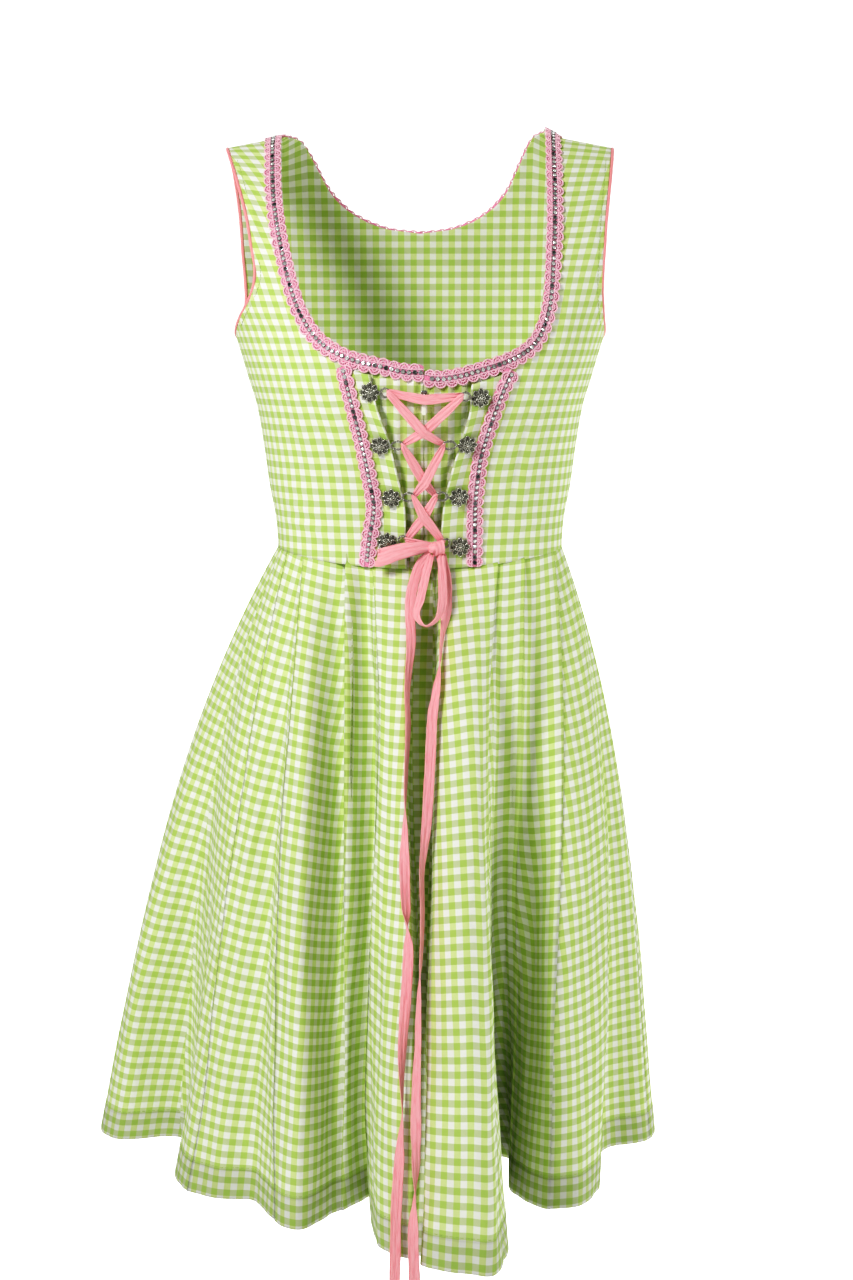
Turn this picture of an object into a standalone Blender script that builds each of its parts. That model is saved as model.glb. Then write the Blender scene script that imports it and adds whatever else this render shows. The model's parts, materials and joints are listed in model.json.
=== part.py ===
"""Dirndl dress in its worn shape: laced bodice, braid, hooks and pleated skirt.

Metres, +Z up, the front faces -Y and the wearer's left is +X. The origin is on the wearer's
shoulder line, halfway between the two straps. Tables and helpers work in millimetres.
Pieces end in _l and _r for the wearer's left (+X) and right (-X).
"""
import math

import bmesh
import bpy
import numpy as np
from mathutils import Matrix, Vector

NAME = "dirndl_dress"
MM = 0.001

# Driving sizes, in millimetres
CLOTH = 1.2  # wall of cloth
BRAID = 1.4  # wall of the crocheted braid
RIBBON = 1.0  # wall of the lacing ribbon
SEAM = 0.5  # gap between the edges of two pieces sewn together
SIDE_SEAM = 1.0  # the same at the side seams of the skirt
CLEAR = 0.45  # gap between a piece and what lies on it
BRAID_CLEAR = 0.7  # the same under the braid, which lies across the rows of its panel
BRAID_WIDTH = 14.0
NECK_ALLOWANCE = 5.0  # from the braid's centre line to the neck edge of the cloth
RIBBON_WIDTH = 7.5
PIPING_RADIUS = 1.2
FLOWER_RADIUS = 7.2
FLOWER_HEIGHT = 3.6
CHAIN_RADIUS = 0.7
CHAIN_HALF_HEIGHT = 3.1
CHAIN_LIFT = 2.8  # of a chain's middle over the underside of its flower
STRIP_PROUD = 3.0  # how far the chains pull the free edge of a lacing strip forward
WAIST_SIDE = -307.5  # height of the waist seam at the side
WAIST_DIP = 10.5  # how much lower it is at the centre
UNDERARM = -151.0
HEM = -779.0
SQUARENESS = 2.3  # of the oval cross-section of the bodice
SHOULDER_SLOPE = 0.19
NECK_SLOPE = 0.45  # the shoulder rises faster towards the neck, from NECK_POINT inwards
NECK_POINT = 104.0
SLOPE_CENTRE = 110.0
SLOPE_FADE = 60.0  # depth below the crest over which the slope fades out
ZIP_X = 3.2  # the centre-front opening stands a little to the wearer's left

# height, half width, front depth and back depth of the bodice
BODY = (
    (-330, 111.0, 88.0, 81.0),
    (-309, 109.0, 86.0, 80.0),
    (-289, 110.0, 89.0, 81.0),
    (-260, 115.0, 97.0, 86.0),
    (-230, 119.0, 108.0, 89.0),
    (-200, 124.0, 120.0, 91.0),
    (-180, 130.0, 124.0, 92.0),
    (-163, 135.0, 122.0, 92.0),
    (-150, 139.0, 118.0, 92.0),
    (-138, 143.0, 114.0, 91.0),
    (-120, 151.0, 108.0, 90.0),
    (-100, 159.0, 100.0, 88.0),
    (-75, 168.0, 85.0, 80.0),
    (-50, 176.0, 67.0, 70.0),
    (-30, 182.0, 50.0, 56.0),
    (-15, 186.0, 34.5, 41.0),
    (-6, 188.0, 21.5, 26.0),
    (-1.5, 189.0, 10.8, 13.0),
    (0, 190.0, 0.3, 0.3),
)

# Lines on the front, each a row of (height, x): where the lacing strip is sewn in, the strip's
# free edge and the armhole, for the two sides of the body
SEWN_LINE = {
    "r": ((-320, -39), (-296, -36.5), (-271, -33), (-252, -36), (-228, -40.5), (-190, -49.5), (-160, -57)),
    "l": ((-320, 40), (-277, 40), (-239, 43), (-219, 48), (-186, 59.5), (-172, 66.5), (-160, 72)),
}
FREE_EDGE = {
    "r": ((-320, -9.5), (-289, -10), (-270, -10.7), (-256, -13.6), (-217, -22.7), (-197, -29.8), (-172, -36)),
    "l": ((-320, 15), (-289, 15.6), (-271, 17), (-243, 22.8), (-215, 31.3), (-197, 35.5), (-175, 37)),
}
FRONT_ARMHOLE = {
    "r": ((-147, -139), (-134, -133), (-121, -125), (-103, -119.5), (-90, -121.5), (-63, -126),
          (-30, -135), (0, -144)),
    "l": ((-147, 139.5), (-130, 136), (-112, 134.4), (-66, 136.7), (-40, 139.5), (0, 144)),
}
BACK_ARMHOLE = ((-147, 139.5), (-119, 135), (-90, 137), (-60, 138.5), (-30, 141), (0, 144))

# Centre line of the neck braid on the front, as (x, height), from the centre to the shoulder
NECK_FRONT = {
    "r": ((2.6, -173.6), (-12, -173), (-26, -169.6), (-41.6, -166.4), (-57, -161), (-69.6, -153.5),
          (-79, -143), (-86.6, -130), (-94, -109), (-99, -90), (-104, -67), (-107.7, -42), (-110, 0)),
    "l": ((3.8, -177), (13.9, -178.2), (31, -175.6), (44, -172), (58.6, -167.4), (72, -161.5),
          (84, -152), (90.9, -137.4), (94.7, -121), (97, -92), (98.7, -67), (99.3, -41), (99, 0)),
}
# Neck edge of the cloth at the back, as (x, height), from the centre to the shoulder
NECK_BACK = ((0, -68), (20, -66), (44, -58), (66, -42), (80, -20), (88, -8), (96, -2), (100, 0))
BACK_SHIFT = -3.0  # the back neck sits a little to the wearer's right, as the straps do

FRONT_LEVEL = -128.0  # above these heights the neck braid follows the rows of the straps
BACK_LEVEL = -39.0

# Hooks: height and x of each flower, height and x of the far end of its chain loop
HOOKS = (
    ("1_r", -186.4, -34.7, -186.0, -20.5),
    ("2_r", -224.1, -27.9, -221.8, -10.8),
    ("3_r", -263.3, -20.2, -260.6, -3.6),
    ("4_r", -296.9, -23.3, -294.0, -8.6),
    ("1_l", -190.1, 42.6, -188.0, 28.0),
    ("2_l", -223.4, 33.5, -221.8, 15.6),
    ("3_l", -262.6, 28.0, -260.3, 10.4),
    ("4_l", -300.7, 28.9, -296.4, 16.0),
)

# Lacing: name, the chain loop where a stretch starts, the loop where it ends, and how far it
# stands off the cloth where it crosses the next row, the one in front farther. Each stretch
# starts in front of its first loop's wire and ends behind its second loop's.
LACING = (
    ("lace_1_over", "1_r", "2_l", 12.2),
    ("lace_1_under", "1_l", "2_r", 8.2),
    ("lace_2_over", "2_l", "3_r", 11.7),
    ("lace_2_under", "2_r", "3_l", 8.6),
    ("lace_3_over", "3_r", "4_l", 11.4),
    ("lace_3_under", "3_l", "4_r", 8.6),
)
LACE_TOP_LIFT = 8.4  # of the run between the two top loops
LACE_TOP_SAG = 2.2
KNOT = (11.8, -299.8, 11.0)  # x, height and lift of the middle of the knot
KNOT_SIZE = (13.0, 10.0, 9.0)
BOW_LOOP = ((3.6, -299.0, 11.6), (-12.0, -301.6, 14.0), (-27.5, -308.6, 13.4))  # x, height, lift
BOW_LOOP_WIDTH = 12.0
BOW_LOOP_WALL = 2.6  # the ribbon is folded double here
# The hanging loop of the bow: x, forward of the shoulder line, height
HANGING_LOOP = (
    (15.9, 98.6, -307.0), (16.6, 108, -324), (16.2, 117, -341), (12.0, 121, -351.5), (4.6, 122.5, -355.9),
    (-1.9, 120, -349), (0.6, 115, -337), (4.2, 108, -321), (8.1, 98.6, -307.0),
)
# Ribbon tails: x, height, turn of the ribbon about its own length in degrees
TAIL_R = (
    (8.4, -306.2, 0), (0.5, -314.0, 0), (-5.6, -332, 0), (-7.0, -347, 10), (-6.2, -368, -10), (-8.8, -398, 20),
    (-8.3, -427, 0), (-10.3, -475, 30), (-10.6, -520, 40), (-9.4, -550, 90), (-7.6, -574, 150),
    (-9.3, -606, 180), (-11.6, -637, 180), (-12.4, -661, 240), (-12.0, -684, 300), (-13.9, -715, 350),
    (-15.9, -745, 360), (-16.5, -776, 360), (-17.2, -801, 370),
)
TAIL_L = (
    (15.6, -306.6, 0), (19.4, -325, 0), (19.9, -345, 20), (17.2, -360, 60), (14.8, -380, 80), (12.6, -396, 130),
    (9.4, -418, 180), (7.4, -454, 180), (5.2, -490, 190), (1.6, -526, 210), (2.2, -550, 225),
    (1.2, -582, 250), (-0.2, -606, 270), (-1.1, -637, 330), (-2.2, -666, 360), (-2.3, -692, 365),
    (-2.4, -716, 420), (-4.2, -757, 520), (-3.4, -784, 540), (-2.8, -800, 545),
)
TAIL_STAND_OFF = 6.5  # of a tail's middle from the pleat edge that it hangs over

# Zip: the slider sits at the top of the centre-front opening and its pull tab hangs before it
SLIDER = (5.0, 6.0, 1.6)  # width, height and thickness
SLIDER_Z = -188.8
BRIDGE = (2.6, 1.35)  # height and rise of the slider's bridge
PULL = (3.4, 14.5, 1.0)  # width, length and thickness of the tab
PULL_EYE = 0.6  # from the hinge axis up to the tab's top end

# Folds of the skirt, each a line from waist to hem. x and forward distance are given at four
# stations down the skirt; the first forward distance comes from the waist, less the tuck.
STATIONS = (0.0, 0.25, 0.6, 1.0)
FRONT_FOLDS = (
    # name, x at the four stations, forward at the last three, tuck at the waist
    ("side_r", -109.0, -165, -216, -257, -12, -25, -40, 0.0),
    ("corner_r", -108.3, -160, -207, -242, 6, 6, 2, 0.0),
    ("hollow_1", -106.5, -145, -174, -190, 32, 20, -2, 0.6),
    ("fold_1_edge", -104.0, -133, -156, -184, 57, 78, 98, 0.0),
    ("fold_1_turn", -100.0, -124, -147, -173, 67, 94, 124, 0.0),
    ("fold_1_crest", -94.5, -113, -133, -151, 76, 107, 139, 0.0),
    ("fold_1_end", -90.5, -102, -113, -124, 83, 116, 147, 0.8),
    ("fold_2_edge", -87.0, -96, -104, -105, 98, 141, 188, 0.0),
    ("fold_2_crest", -79.0, -85, -88, -88, 106, 156, 204, 0.0),
    ("hollow_2", -61.0, -63, -67, -69, 97, 146, 194, 3.0),
    ("fold_3_edge", -55.0, -55, -55, -56, 112, 146, 171, 0.0),
    ("hollow_3", -46.0, -43, -40, -38, 98, 119, 136, 2.0),
    ("fold_4_edge", -35.0, -30, -35, -35.5, 118, 155, 184, 0.0),
    ("fold_4_wall", -26.0, -23, -25, -24, 131, 186, 246, 0.0),
    ("pleat_left", -6.0, -10, -7, -8, 141, 203, 264, 0.0),
    ("pleat_inside_r", -1.0, -5, -1.5, -2, 112, 182, 258, 4.6),
    ("pleat_inside_l", 10.0, 9, 6, 3, 110, 184, 260, 4.6),
    ("pleat_right", 15.0, 15, 9.5, 0.5, 145, 210, 275, 0.0),
    ("fold_5_crest", 36.0, 38, 36, 30, 154, 226, 291, 0.0),
    ("fold_5_turn", 48.0, 45, 46, 49, 148, 220, 297, 0.0),
    ("fold_5_edge", 58.0, 49, 49, 59, 137, 203, 270, 0.0),
    ("fold_5_wall", 61.5, 53, 51.5, 60, 120, 136, 150, 1.6),
    ("hollow_5_r", 65.0, 58, 56, 61, 106, 88, 44, 2.6),
    ("hollow_5_l", 71.0, 66, 63, 69, 102, 82, 50, 1.6),
    ("fold_6_edge", 78.0, 74, 72, 68, 98, 88, 116, 0.0),
    ("hollow_6", 85.5, 84, 84, 78, 84, 99, 147, 2.4),
    ("fold_7_crest", 101.0, 107, 102, 95, 75, 121, 163, 0.0),
    ("fold_7_turn", 105.0, 121, 123, 115, 62, 106, 157, 0.0),
    ("fold_7_edge", 107.5, 132, 141, 133, 46, 78, 118, 0.0),
    ("hollow_7", 108.3, 135, 145, 142, 24, 30, 30, 0.6),
    ("side_l", 109.0, 143, 167, 181, 0, 2, 2, 0.0),
)
BACK_FOLDS = (
    # name, x at the four stations, backward at the last three, tuck at the waist
    ("side_l", 109.0, 143, 167, 181, 0, -2, -2, 0.0),
    ("back_1_crest", 106.0, 138, 164, 184, 33, 50, 66, 0.0),
    ("back_hollow_1", 99.5, 117, 136, 150, 62, 84, 104, 2.4),
    ("back_2_edge", 91.0, 113, 133, 150, 84, 126, 170, 0.0),
    ("back_2_crest", 82.0, 100, 114, 125, 97, 144, 191, 0.0),
    ("back_hollow_2", 70.0, 81, 90, 97, 86, 114, 144, 2.4),
    ("back_3_edge", 61.0, 65, 69, 74, 115, 166, 216, 0.0),
    ("back_3_crest", 42.0, 44, 43, 40, 122, 178, 230, 0.0),
    ("back_hollow_3", 5.0, 5, 5, 5, 94, 130, 166, 3.0),
    ("back_4_crest", -28.0, -29, -30, -32, 121, 176, 230, 0.0),
    ("back_4_edge", -54.0, -59, -65, -70, 117, 168, 221, 0.0),
    ("back_hollow_4", -70.0, -82, -92, -101, 88, 118, 150, 2.4),
    ("back_5_crest", -82.0, -101, -119, -135, 96, 146, 194, 0.0),
    ("back_5_edge", -92.0, -120, -146, -167, 82, 128, 172, 0.0),
    ("back_hollow_5", -99.5, -131, -162, -189, 62, 80, 100, 2.4),
    ("back_6_crest", -105.5, -153, -199, -238, 42, 66, 92, 0.0),
    ("side_r", -109.0, -165, -216, -257, 12, 25, 40, 0.0),
)

# Heights of the rows of the bodice panels; the lowest row follows the waist seam
LACED_ROWS = (-307.5, -298, -284, -267, -249, -231, -214, -199, -188)
TORSO_ROWS = LACED_ROWS + (-177, -163, UNDERARM)
STRAP_ROWS = (-124, -112, -98, -80, -62, -45, -29, -16, -7.5, -2.8, -0.7, 0)
ARMHOLE_ROWS = (-146, -136) + STRAP_ROWS
BACK_TORSO_ROWS = (-307.5, -298, -272, -240, -205, -176, UNDERARM)
BACK_ARMHOLE_ROWS = (-146, -136, -122, -104, -86, -68)
BACK_STRAP_ROWS = (-38, -27, -17, -10, -5.5, -2.4, -0.7, 0)
NECK_ROWS = (-66, -60, -50) + BACK_STRAP_ROWS
SKIRT_ROWS = (0.0, 0.07, 0.16, 0.3, 0.5, 0.75, 1.0)
SKIRT_SAMPLES = 2  # points between two fold lines


def smooth(table, at):
    """Value at a key of a table of (key, value) rows: a cubic that doesn't overshoot."""
    keys = np.array([row[0] for row in table], float)
    values = np.array([row[1] for row in table], float)
    steps = np.diff(keys)
    slopes = np.diff(values) / steps
    tangents = np.concatenate(([slopes[0]], np.zeros(len(keys) - 2), [slopes[-1]]))
    for i in range(1, len(keys) - 1):
        if slopes[i - 1] * slopes[i] > 0:
            tangents[i] = 2 * slopes[i - 1] * slopes[i] / (slopes[i - 1] + slopes[i])
    at = min(max(at, keys[0]), keys[-1])
    i = min(int(np.searchsorted(keys, at, side="right")) - 1, len(keys) - 2)
    t = (at - keys[i]) / steps[i]
    return float(
        values[i] * (1 + 2 * t) * (1 - t) ** 2
        + tangents[i] * steps[i] * t * (1 - t) ** 2
        + values[i + 1] * t * t * (3 - 2 * t)
        + tangents[i + 1] * steps[i] * t * t * (t - 1)
    )


def spline(points, samples, before=None, after=None):
    """Centripetal Catmull-Rom curve through an open row of points, ends included."""
    points = [Vector(p) for p in points]
    before = points[0] * 2 - points[1] if before is None else before
    after = points[-1] * 2 - points[-2] if after is None else after
    ext = [before] + points + [after]
    out = []
    for i in range(1, len(ext) - 2):
        p0, p1, p2, p3 = ext[i - 1:i + 3]
        t1 = max((p1 - p0).length, 1e-6) ** 0.5
        t2 = t1 + max((p2 - p1).length, 1e-6) ** 0.5
        t3 = t2 + max((p3 - p2).length, 1e-6) ** 0.5
        for k in range(samples):
            t = t1 + (t2 - t1) * k / samples
            a1 = p0 * ((t1 - t) / t1) + p1 * (t / t1)
            a2 = p1 * ((t2 - t) / (t2 - t1)) + p2 * ((t - t1) / (t2 - t1))
            a3 = p2 * ((t3 - t) / (t3 - t2)) + p3 * ((t - t2) / (t3 - t2))
            b1 = a1 * ((t2 - t) / t2) + a2 * (t / t2)
            b2 = a2 * ((t3 - t) / (t3 - t1)) + a3 * ((t - t1) / (t3 - t1))
            out.append(b1 * ((t2 - t) / (t2 - t1)) + b2 * ((t - t1) / (t2 - t1)))
    out.append(points[-1].copy())
    return out


def through_stations(values, v):
    """Cubic through the values at the four stations of the skirt."""
    total = 0.0
    for i, value in enumerate(values):
        weight = 1.0
        for j, station in enumerate(STATIONS):
            if j != i:
                weight *= (v - station) / (STATIONS[i] - station)
        total += weight * value
    return total


def waist_height(x):
    """The waist seam is lowest at the centre and rises to the sides."""
    return WAIST_SIDE - WAIST_DIP * (1 - min(1.0, abs(x) / SLOPE_CENTRE) ** 2)


def shoulder_rise(x, z):
    """Height added near the shoulder crest, which falls away from the neck."""
    rise = SHOULDER_SLOPE * (SLOPE_CENTRE - abs(x)) + NECK_SLOPE * max(0.0, NECK_POINT - abs(x))
    return min(rise, 12.0) * max(0.0, 1 + z / SLOPE_FADE) ** 2


def body(angle, z, back=False):
    """Outer surface of the bodice. Angle 0 is the centre line, +-pi/2 the side seams."""
    half_width = smooth([(r[0], r[1]) for r in BODY], z)
    depth = smooth([(r[0], r[3] if back else r[2]) for r in BODY], z)
    s, c = math.sin(angle), math.cos(angle)
    x = half_width * math.copysign(abs(s) ** (2 / SQUARENESS), s)
    y = (depth if back else -depth) * abs(c) ** (2 / SQUARENESS)
    return Vector((x, y, z + shoulder_rise(x, z)))


def angle_at(x, z):
    """The angle at which the bodice has this x, at a height."""
    half_width = smooth([(r[0], r[1]) for r in BODY], z)
    return math.copysign(math.asin(min(1.0, (abs(x) / half_width) ** (SQUARENESS / 2))), x)


def outward(angle, z, back=False):
    """Unit normal of the bodice, away from the wearer."""
    turn = 0.004
    here = body(angle, z, back)
    across = body(angle + turn, z, back) - here if angle <= 0 else here - body(angle - turn, z, back)
    up = here - body(angle, z - 0.5, back)
    normal = across.cross(up).normalized()
    return -normal if back else normal


def on_body(angle, z, lift=0.0, back=False):
    return body(angle, z, back) + outward(angle, z, back) * lift


def on_front(x, z, lift=0.0):
    return on_body(angle_at(x, z), z, lift)


def settle(x, z):
    """Heights near the waist follow the dip of the waist seam."""
    start = LACED_ROWS[2]
    if z >= start:
        return z
    return start + (z - start) / (WAIST_SIDE - start) * (waist_height(x) - start)


def side_angle(z, back=False):
    """Angle of the edge of a panel at the side seam."""
    depth = smooth([(r[0], r[3] if back else r[2]) for r in BODY], z)
    return math.pi / 2 - (SEAM / 2 / depth) ** (SQUARENESS / 2)


def girth_table(back):
    """Rows of (height, length of cloth up to the shoulder crest) along a strap."""
    heights = sorted(set(-200 * t * t for t in fractions(60)))
    angle = angle_at(SLOPE_CENTRE, -20.0)
    points = [body(angle, z, back) for z in heights]
    rows, length = [(0.0, 0.0)], 0.0
    for i in range(len(heights) - 1, 0, -1):
        length -= (points[i] - points[i - 1]).length
        rows.append((heights[i - 1], length))
    return sorted(rows)


GIRTH = {}


def moved_sideways(points, distance, level, back=False):
    """A row of (x, z) points moved along the cloth, square to itself and to its left.

    Above the level each point keeps its height, so that it stays on the rows of its panel.
    """
    girth = GIRTH[back]
    height = [(length, z) for z, length in girth]
    flat = [(x, smooth(girth, z) if z > girth[0][0] else girth[0][1] + z - girth[0][0]) for x, z in points]
    out = []
    for i, (x, g) in enumerate(flat):
        x0, g0 = flat[max(i - 1, 0)]
        x1, g1 = flat[min(i + 1, len(flat) - 1)]
        length = math.hypot(x1 - x0, g1 - g0)
        if points[i][1] > level:
            out.append((x - length / (g1 - g0) * distance, points[i][1]))
            continue
        g += (x1 - x0) / length * distance
        x -= (g1 - g0) / length * distance
        z = smooth(height, g) if g > height[0][0] else g - height[0][0] + height[0][1]
        out.append((x, z))
    return out


def neck_edge(side):
    """Neck edge of the cloth on the front, inside the braid's centre line."""
    towards_neck = NECK_ALLOWANCE if side == "l" else -NECK_ALLOWANCE
    return moved_sideways(NECK_FRONT[side], towards_neck, FRONT_LEVEL)


def neck_x(side, z):
    rows = sorted((point[1], point[0]) for point in neck_edge(side))
    return smooth(rows, z)


def neck_z(side, x):
    rows = sorted(neck_edge(side)[:6])
    return smooth(rows, x)


def front_inner_x(side, z):
    """Inner edge of the side front: the sewn line below, the neck edge above."""
    sign = 1 if side == "l" else -1
    line = smooth(SEWN_LINE[side], z) + sign * SEAM / 2
    if z < neck_z(side, line):
        return line
    return max(line, neck_x(side, z)) if side == "l" else min(line, neck_x(side, z))


def make_material(name, colour, roughness, metallic):
    material = bpy.data.materials.new(name)
    material.use_nodes = True
    shader = material.node_tree.nodes["Principled BSDF"]
    shader.inputs["Base Color"].default_value = (*colour, 1.0)
    shader.inputs["Roughness"].default_value = roughness
    shader.inputs["Metallic"].default_value = metallic
    return material


FINISHES = {
    "gingham": ((0.45, 0.66, 0.22), 0.85, 0.0),
    "braid": ((0.86, 0.40, 0.54), 0.8, 0.0),
    "ribbon": ((0.92, 0.36, 0.42), 0.75, 0.0),
    "piping": ((0.94, 0.40, 0.42), 0.75, 0.0),
    "silver": ((0.30, 0.30, 0.29), 0.35, 1.0),
    "zip_enamel": ((0.85, 0.84, 0.80), 0.4, 0.0),
}


def add_object(name, mesh, finish):
    obj = bpy.data.objects.new(name, mesh)
    obj.data.materials.append(make_material(f"{name}_{finish}", *FINISHES[finish]))
    PARTS.objects.link(obj)
    return obj


def facing_out(faces):
    """True when the faces look away from the wearer's axis, summed over their area."""
    total = 0.0
    for face in faces:
        centre = face.calc_center_median()
        total += face.normal.dot(Vector((centre.x, centre.y, 0))) * face.calc_area()
    return total >= 0


def wall(name, grids, finish, thickness, centred=False, merge=False):
    """A wall of cloth: open grids of points in millimetres, thickened towards the wearer."""
    bm = bmesh.new()
    for rows in grids:
        verts = [[bm.verts.new(p * MM) for p in row] for row in rows]
        for lower, upper in zip(verts, verts[1:]):
            for i in range(len(lower) - 1):
                bm.faces.new((lower[i], lower[i + 1], upper[i + 1], upper[i]))
    if merge:
        bmesh.ops.remove_doubles(bm, verts=bm.verts, dist=0.00002)
    bmesh.ops.recalc_face_normals(bm, faces=bm.faces)
    bm.normal_update()
    if not facing_out(bm.faces):
        bmesh.ops.reverse_faces(bm, faces=bm.faces)
    mesh = bpy.data.meshes.new(name)
    bm.to_mesh(mesh)
    bm.free()
    obj = add_object(name, mesh, finish)
    mesh.shade_smooth()
    thicken = obj.modifiers.new("wall", "SOLIDIFY")
    thicken.thickness = thickness * MM
    thicken.offset = 0.0 if centred else -1.0
    return obj


def fractions(count):
    return [i / (count - 1) for i in range(count)]


def side_front(side):
    """Front panel from the side seam to the lacing, with its strap."""
    sign = 1 if side == "l" else -1
    rows = []
    for z in TORSO_ROWS + ARMHOLE_ROWS:
        low = settle(front_inner_x(side, z), z)
        start = angle_at(front_inner_x(side, low), low)
        if z <= UNDERARM:
            end = sign * side_angle(z)
        else:
            end = angle_at(smooth(FRONT_ARMHOLE[side], z), z)
        row = []
        for t in fractions(8):
            angle = start + (end - start) * t
            row.append(on_body(angle, settle(body(angle, z).x, z)))
        rows.append(row)
    return wall(f"bodice_front_{side}", [rows], "gingham", CLOTH)


def sewn_x(side, z, gap):
    """The sewn line of a lacing strip at a height, short of it by a gap."""
    return smooth(SEWN_LINE[side], z) - (gap if side == "l" else -gap)


def laced_rows(side, inner, outer, top, columns, lift):
    """Rows between two lines on the front, from the waist seam up to a top edge."""
    rows = []
    for z in LACED_ROWS + (None,):
        row = []
        for t in fractions(columns):
            here = LACED_ROWS[-1] + 8.0 if z is None else z
            for _ in range(4):
                x = inner(here) + (outer(here) - inner(here)) * t
                here = top(x) if z is None else settle(x, z)
            row.append(on_front(x, here, lift(side, x, here)))
        rows.append(row)
    return rows


def centre_front(side):
    """Panel behind the lacing, from the sewn line to the centre opening."""
    inner = ZIP_X + (SEAM / 2 if side == "l" else -SEAM / 2)
    rows = laced_rows(side, lambda z: inner, lambda z: sewn_x(side, z, SEAM / 2),
                      lambda x: neck_z(side, x), 5, lambda *_: 0.0)
    return wall(f"front_centre_{side}", [rows], "gingham", CLOTH)


def strip_top(side, x, z):
    """Outer face of a lacing strip: flat where it is sewn in, pulled forward at its free edge."""
    sewn, free = smooth(SEWN_LINE[side], z), smooth(FREE_EDGE[side], z)
    along = (abs(x - sewn) - BRAID_WIDTH / 2) / max(1.0, abs(free - sewn) - BRAID_WIDTH / 2)
    along = min(max(along, 0.0), 1.0)
    below_top = min(1.0, max(0.0, (-178.0 - z) / 14.0))
    return CLEAR + CLOTH + STRIP_PROUD * along * along * (3 - 2 * along) * (0.35 + 0.65 * below_top)


def lacing_strip(side):
    """Strip with a free inner edge that carries the hooks."""
    edge = braid_lower_edge(side)
    rows = laced_rows(side, lambda z: smooth(FREE_EDGE[side], z), lambda z: sewn_x(side, z, SEAM),
                      lambda x: smooth(edge, x) - CLEAR, 5, strip_top)
    return wall(f"lacing_strip_{side}", [rows], "gingham", CLOTH)


def braid_lower_edge(side):
    """Lower edge of the neck braid across the front, as sorted (x, z)."""
    away = -BRAID_WIDTH / 2 if side == "l" else BRAID_WIDTH / 2
    return sorted(moved_sideways(NECK_FRONT[side], away, FRONT_LEVEL)[:7])


def bodice_back():
    """Back panel with its straps and the scooped neck."""
    halves = []
    for sign in (-1, 1):
        rows = []
        for z in BACK_TORSO_ROWS + BACK_ARMHOLE_ROWS + NECK_ROWS:
            if z <= UNDERARM:
                start = sign * side_angle(z, True)
            else:
                start = angle_at(sign * smooth(BACK_ARMHOLE, z), z)
            end = angle_at(back_neck_x(sign, z), z) if z > BACK_ARMHOLE_ROWS[-1] else 0.0
            row = []
            for t in fractions(8):
                angle = start + (end - start) * t
                row.append(on_body(angle, settle(body(angle, z).x, z), 0.0, True))
            rows.append(row)
        halves.append(rows)
    return wall("bodice_back", halves, "gingham", CLOTH, merge=True)


def back_neck_x(sign, z):
    edge = sorted((point[1], point[0]) for point in NECK_BACK)
    return sign * smooth(edge, z) + BACK_SHIFT * (1 - abs(z) / 68.0)


def braid_band(name, sides, lifts, back=False):
    """Flat braid through three rows of (x, z) on the bodice, each with the lift of its underside."""
    rows = []
    for points, lift in zip(sides, lifts):
        rows.append([on_body(angle_at(x, z), z, lift + BRAID, back) for x, z in points])
    return wall(name, [rows], "braid", BRAID)


def neck_braids():
    """Braid round the neck: two fronts that meet at the centre, and the back."""
    half_width = BRAID_WIDTH / 2
    lifts = (BRAID_CLEAR,) * 3
    for side in "rl":
        end_x = ZIP_X + (SEAM / 2 if side == "l" else -SEAM / 2)
        across = [row for row in NECK_FRONT[side] if row[1] <= FRONT_LEVEL]
        line = [(p.x, p.y) for p in spline([(x, z, 0) for x, z in across], 2)]
        strap = sorted((z, x) for x, z in NECK_FRONT[side])
        line += [(smooth(strap, z), z) for z in STRAP_ROWS]
        sides = []
        for k in (1, 0, -1):
            row = moved_sideways(line, half_width * k, FRONT_LEVEL)
            sides.append([(end_x, row[0][1])] + row[1:])
        braid_band(f"braid_neck_{side}", sides, lifts)
    halves = []
    for sign in (-1, 1):
        across = [(sign * x, smooth(NECK_BACK, x)) for x in (12, 24, 36, 46, 56)]
        halves.append(across + [(back_neck_x(sign, z), z) for z in BACK_STRAP_ROWS])
    line = halves[0][::-1] + [(0.0, NECK_BACK[0][1])] + halves[1]
    sides = [moved_sideways(line, side - NECK_ALLOWANCE, BACK_LEVEL, True) for side in (half_width, 0, -half_width)]
    braid_band("braid_neck_back", sides, (BRAID_CLEAR + 0.3,) * 3, back=True)


def front_braids():
    """Two braids that cover the seams of the lacing strips."""
    over_strip = CLEAR + CLOTH + CLEAR
    for side in "rl":
        edge = braid_lower_edge(side)
        sides = []
        for k in (-1, 0, 1):
            row = []
            for z in LACED_ROWS + (None,):
                here = LACED_ROWS[-1] + 8.0 if z is None else z
                for _ in range(4):
                    x = smooth(SEWN_LINE[side], here) + k * BRAID_WIDTH / 2
                    here = smooth(edge, x) - 2 * CLEAR if z is None else settle(x, z)
                row.append((x, here))
            sides.append(row)
        lifts = (BRAID_CLEAR, over_strip, over_strip)
        lifts = lifts if side == "r" else lifts[::-1]
        braid_band(f"braid_front_{side}", sides, lifts)


def armhole_edge(side):
    """Edge of the cloth round an armhole, up the front and down the back, with its normals."""
    sign = 1 if side == "l" else -1
    steps = []
    for z in ARMHOLE_ROWS[:-1]:
        steps.append((angle_at(smooth(FRONT_ARMHOLE[side], z), z), z, False))
    for z in reversed((BACK_ARMHOLE_ROWS + NECK_ROWS[1:])[:-1]):
        steps.append((angle_at(sign * smooth(BACK_ARMHOLE, z), z), z, True))
    edge = []
    for angle, z, back in steps:
        edge.append((on_body(angle, z, 0, back), outward(angle, z, back)))
    base = on_body(sign * math.pi / 2, UNDERARM)
    edge.append((base, Vector((sign, 0, 0))))
    return edge


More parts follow.
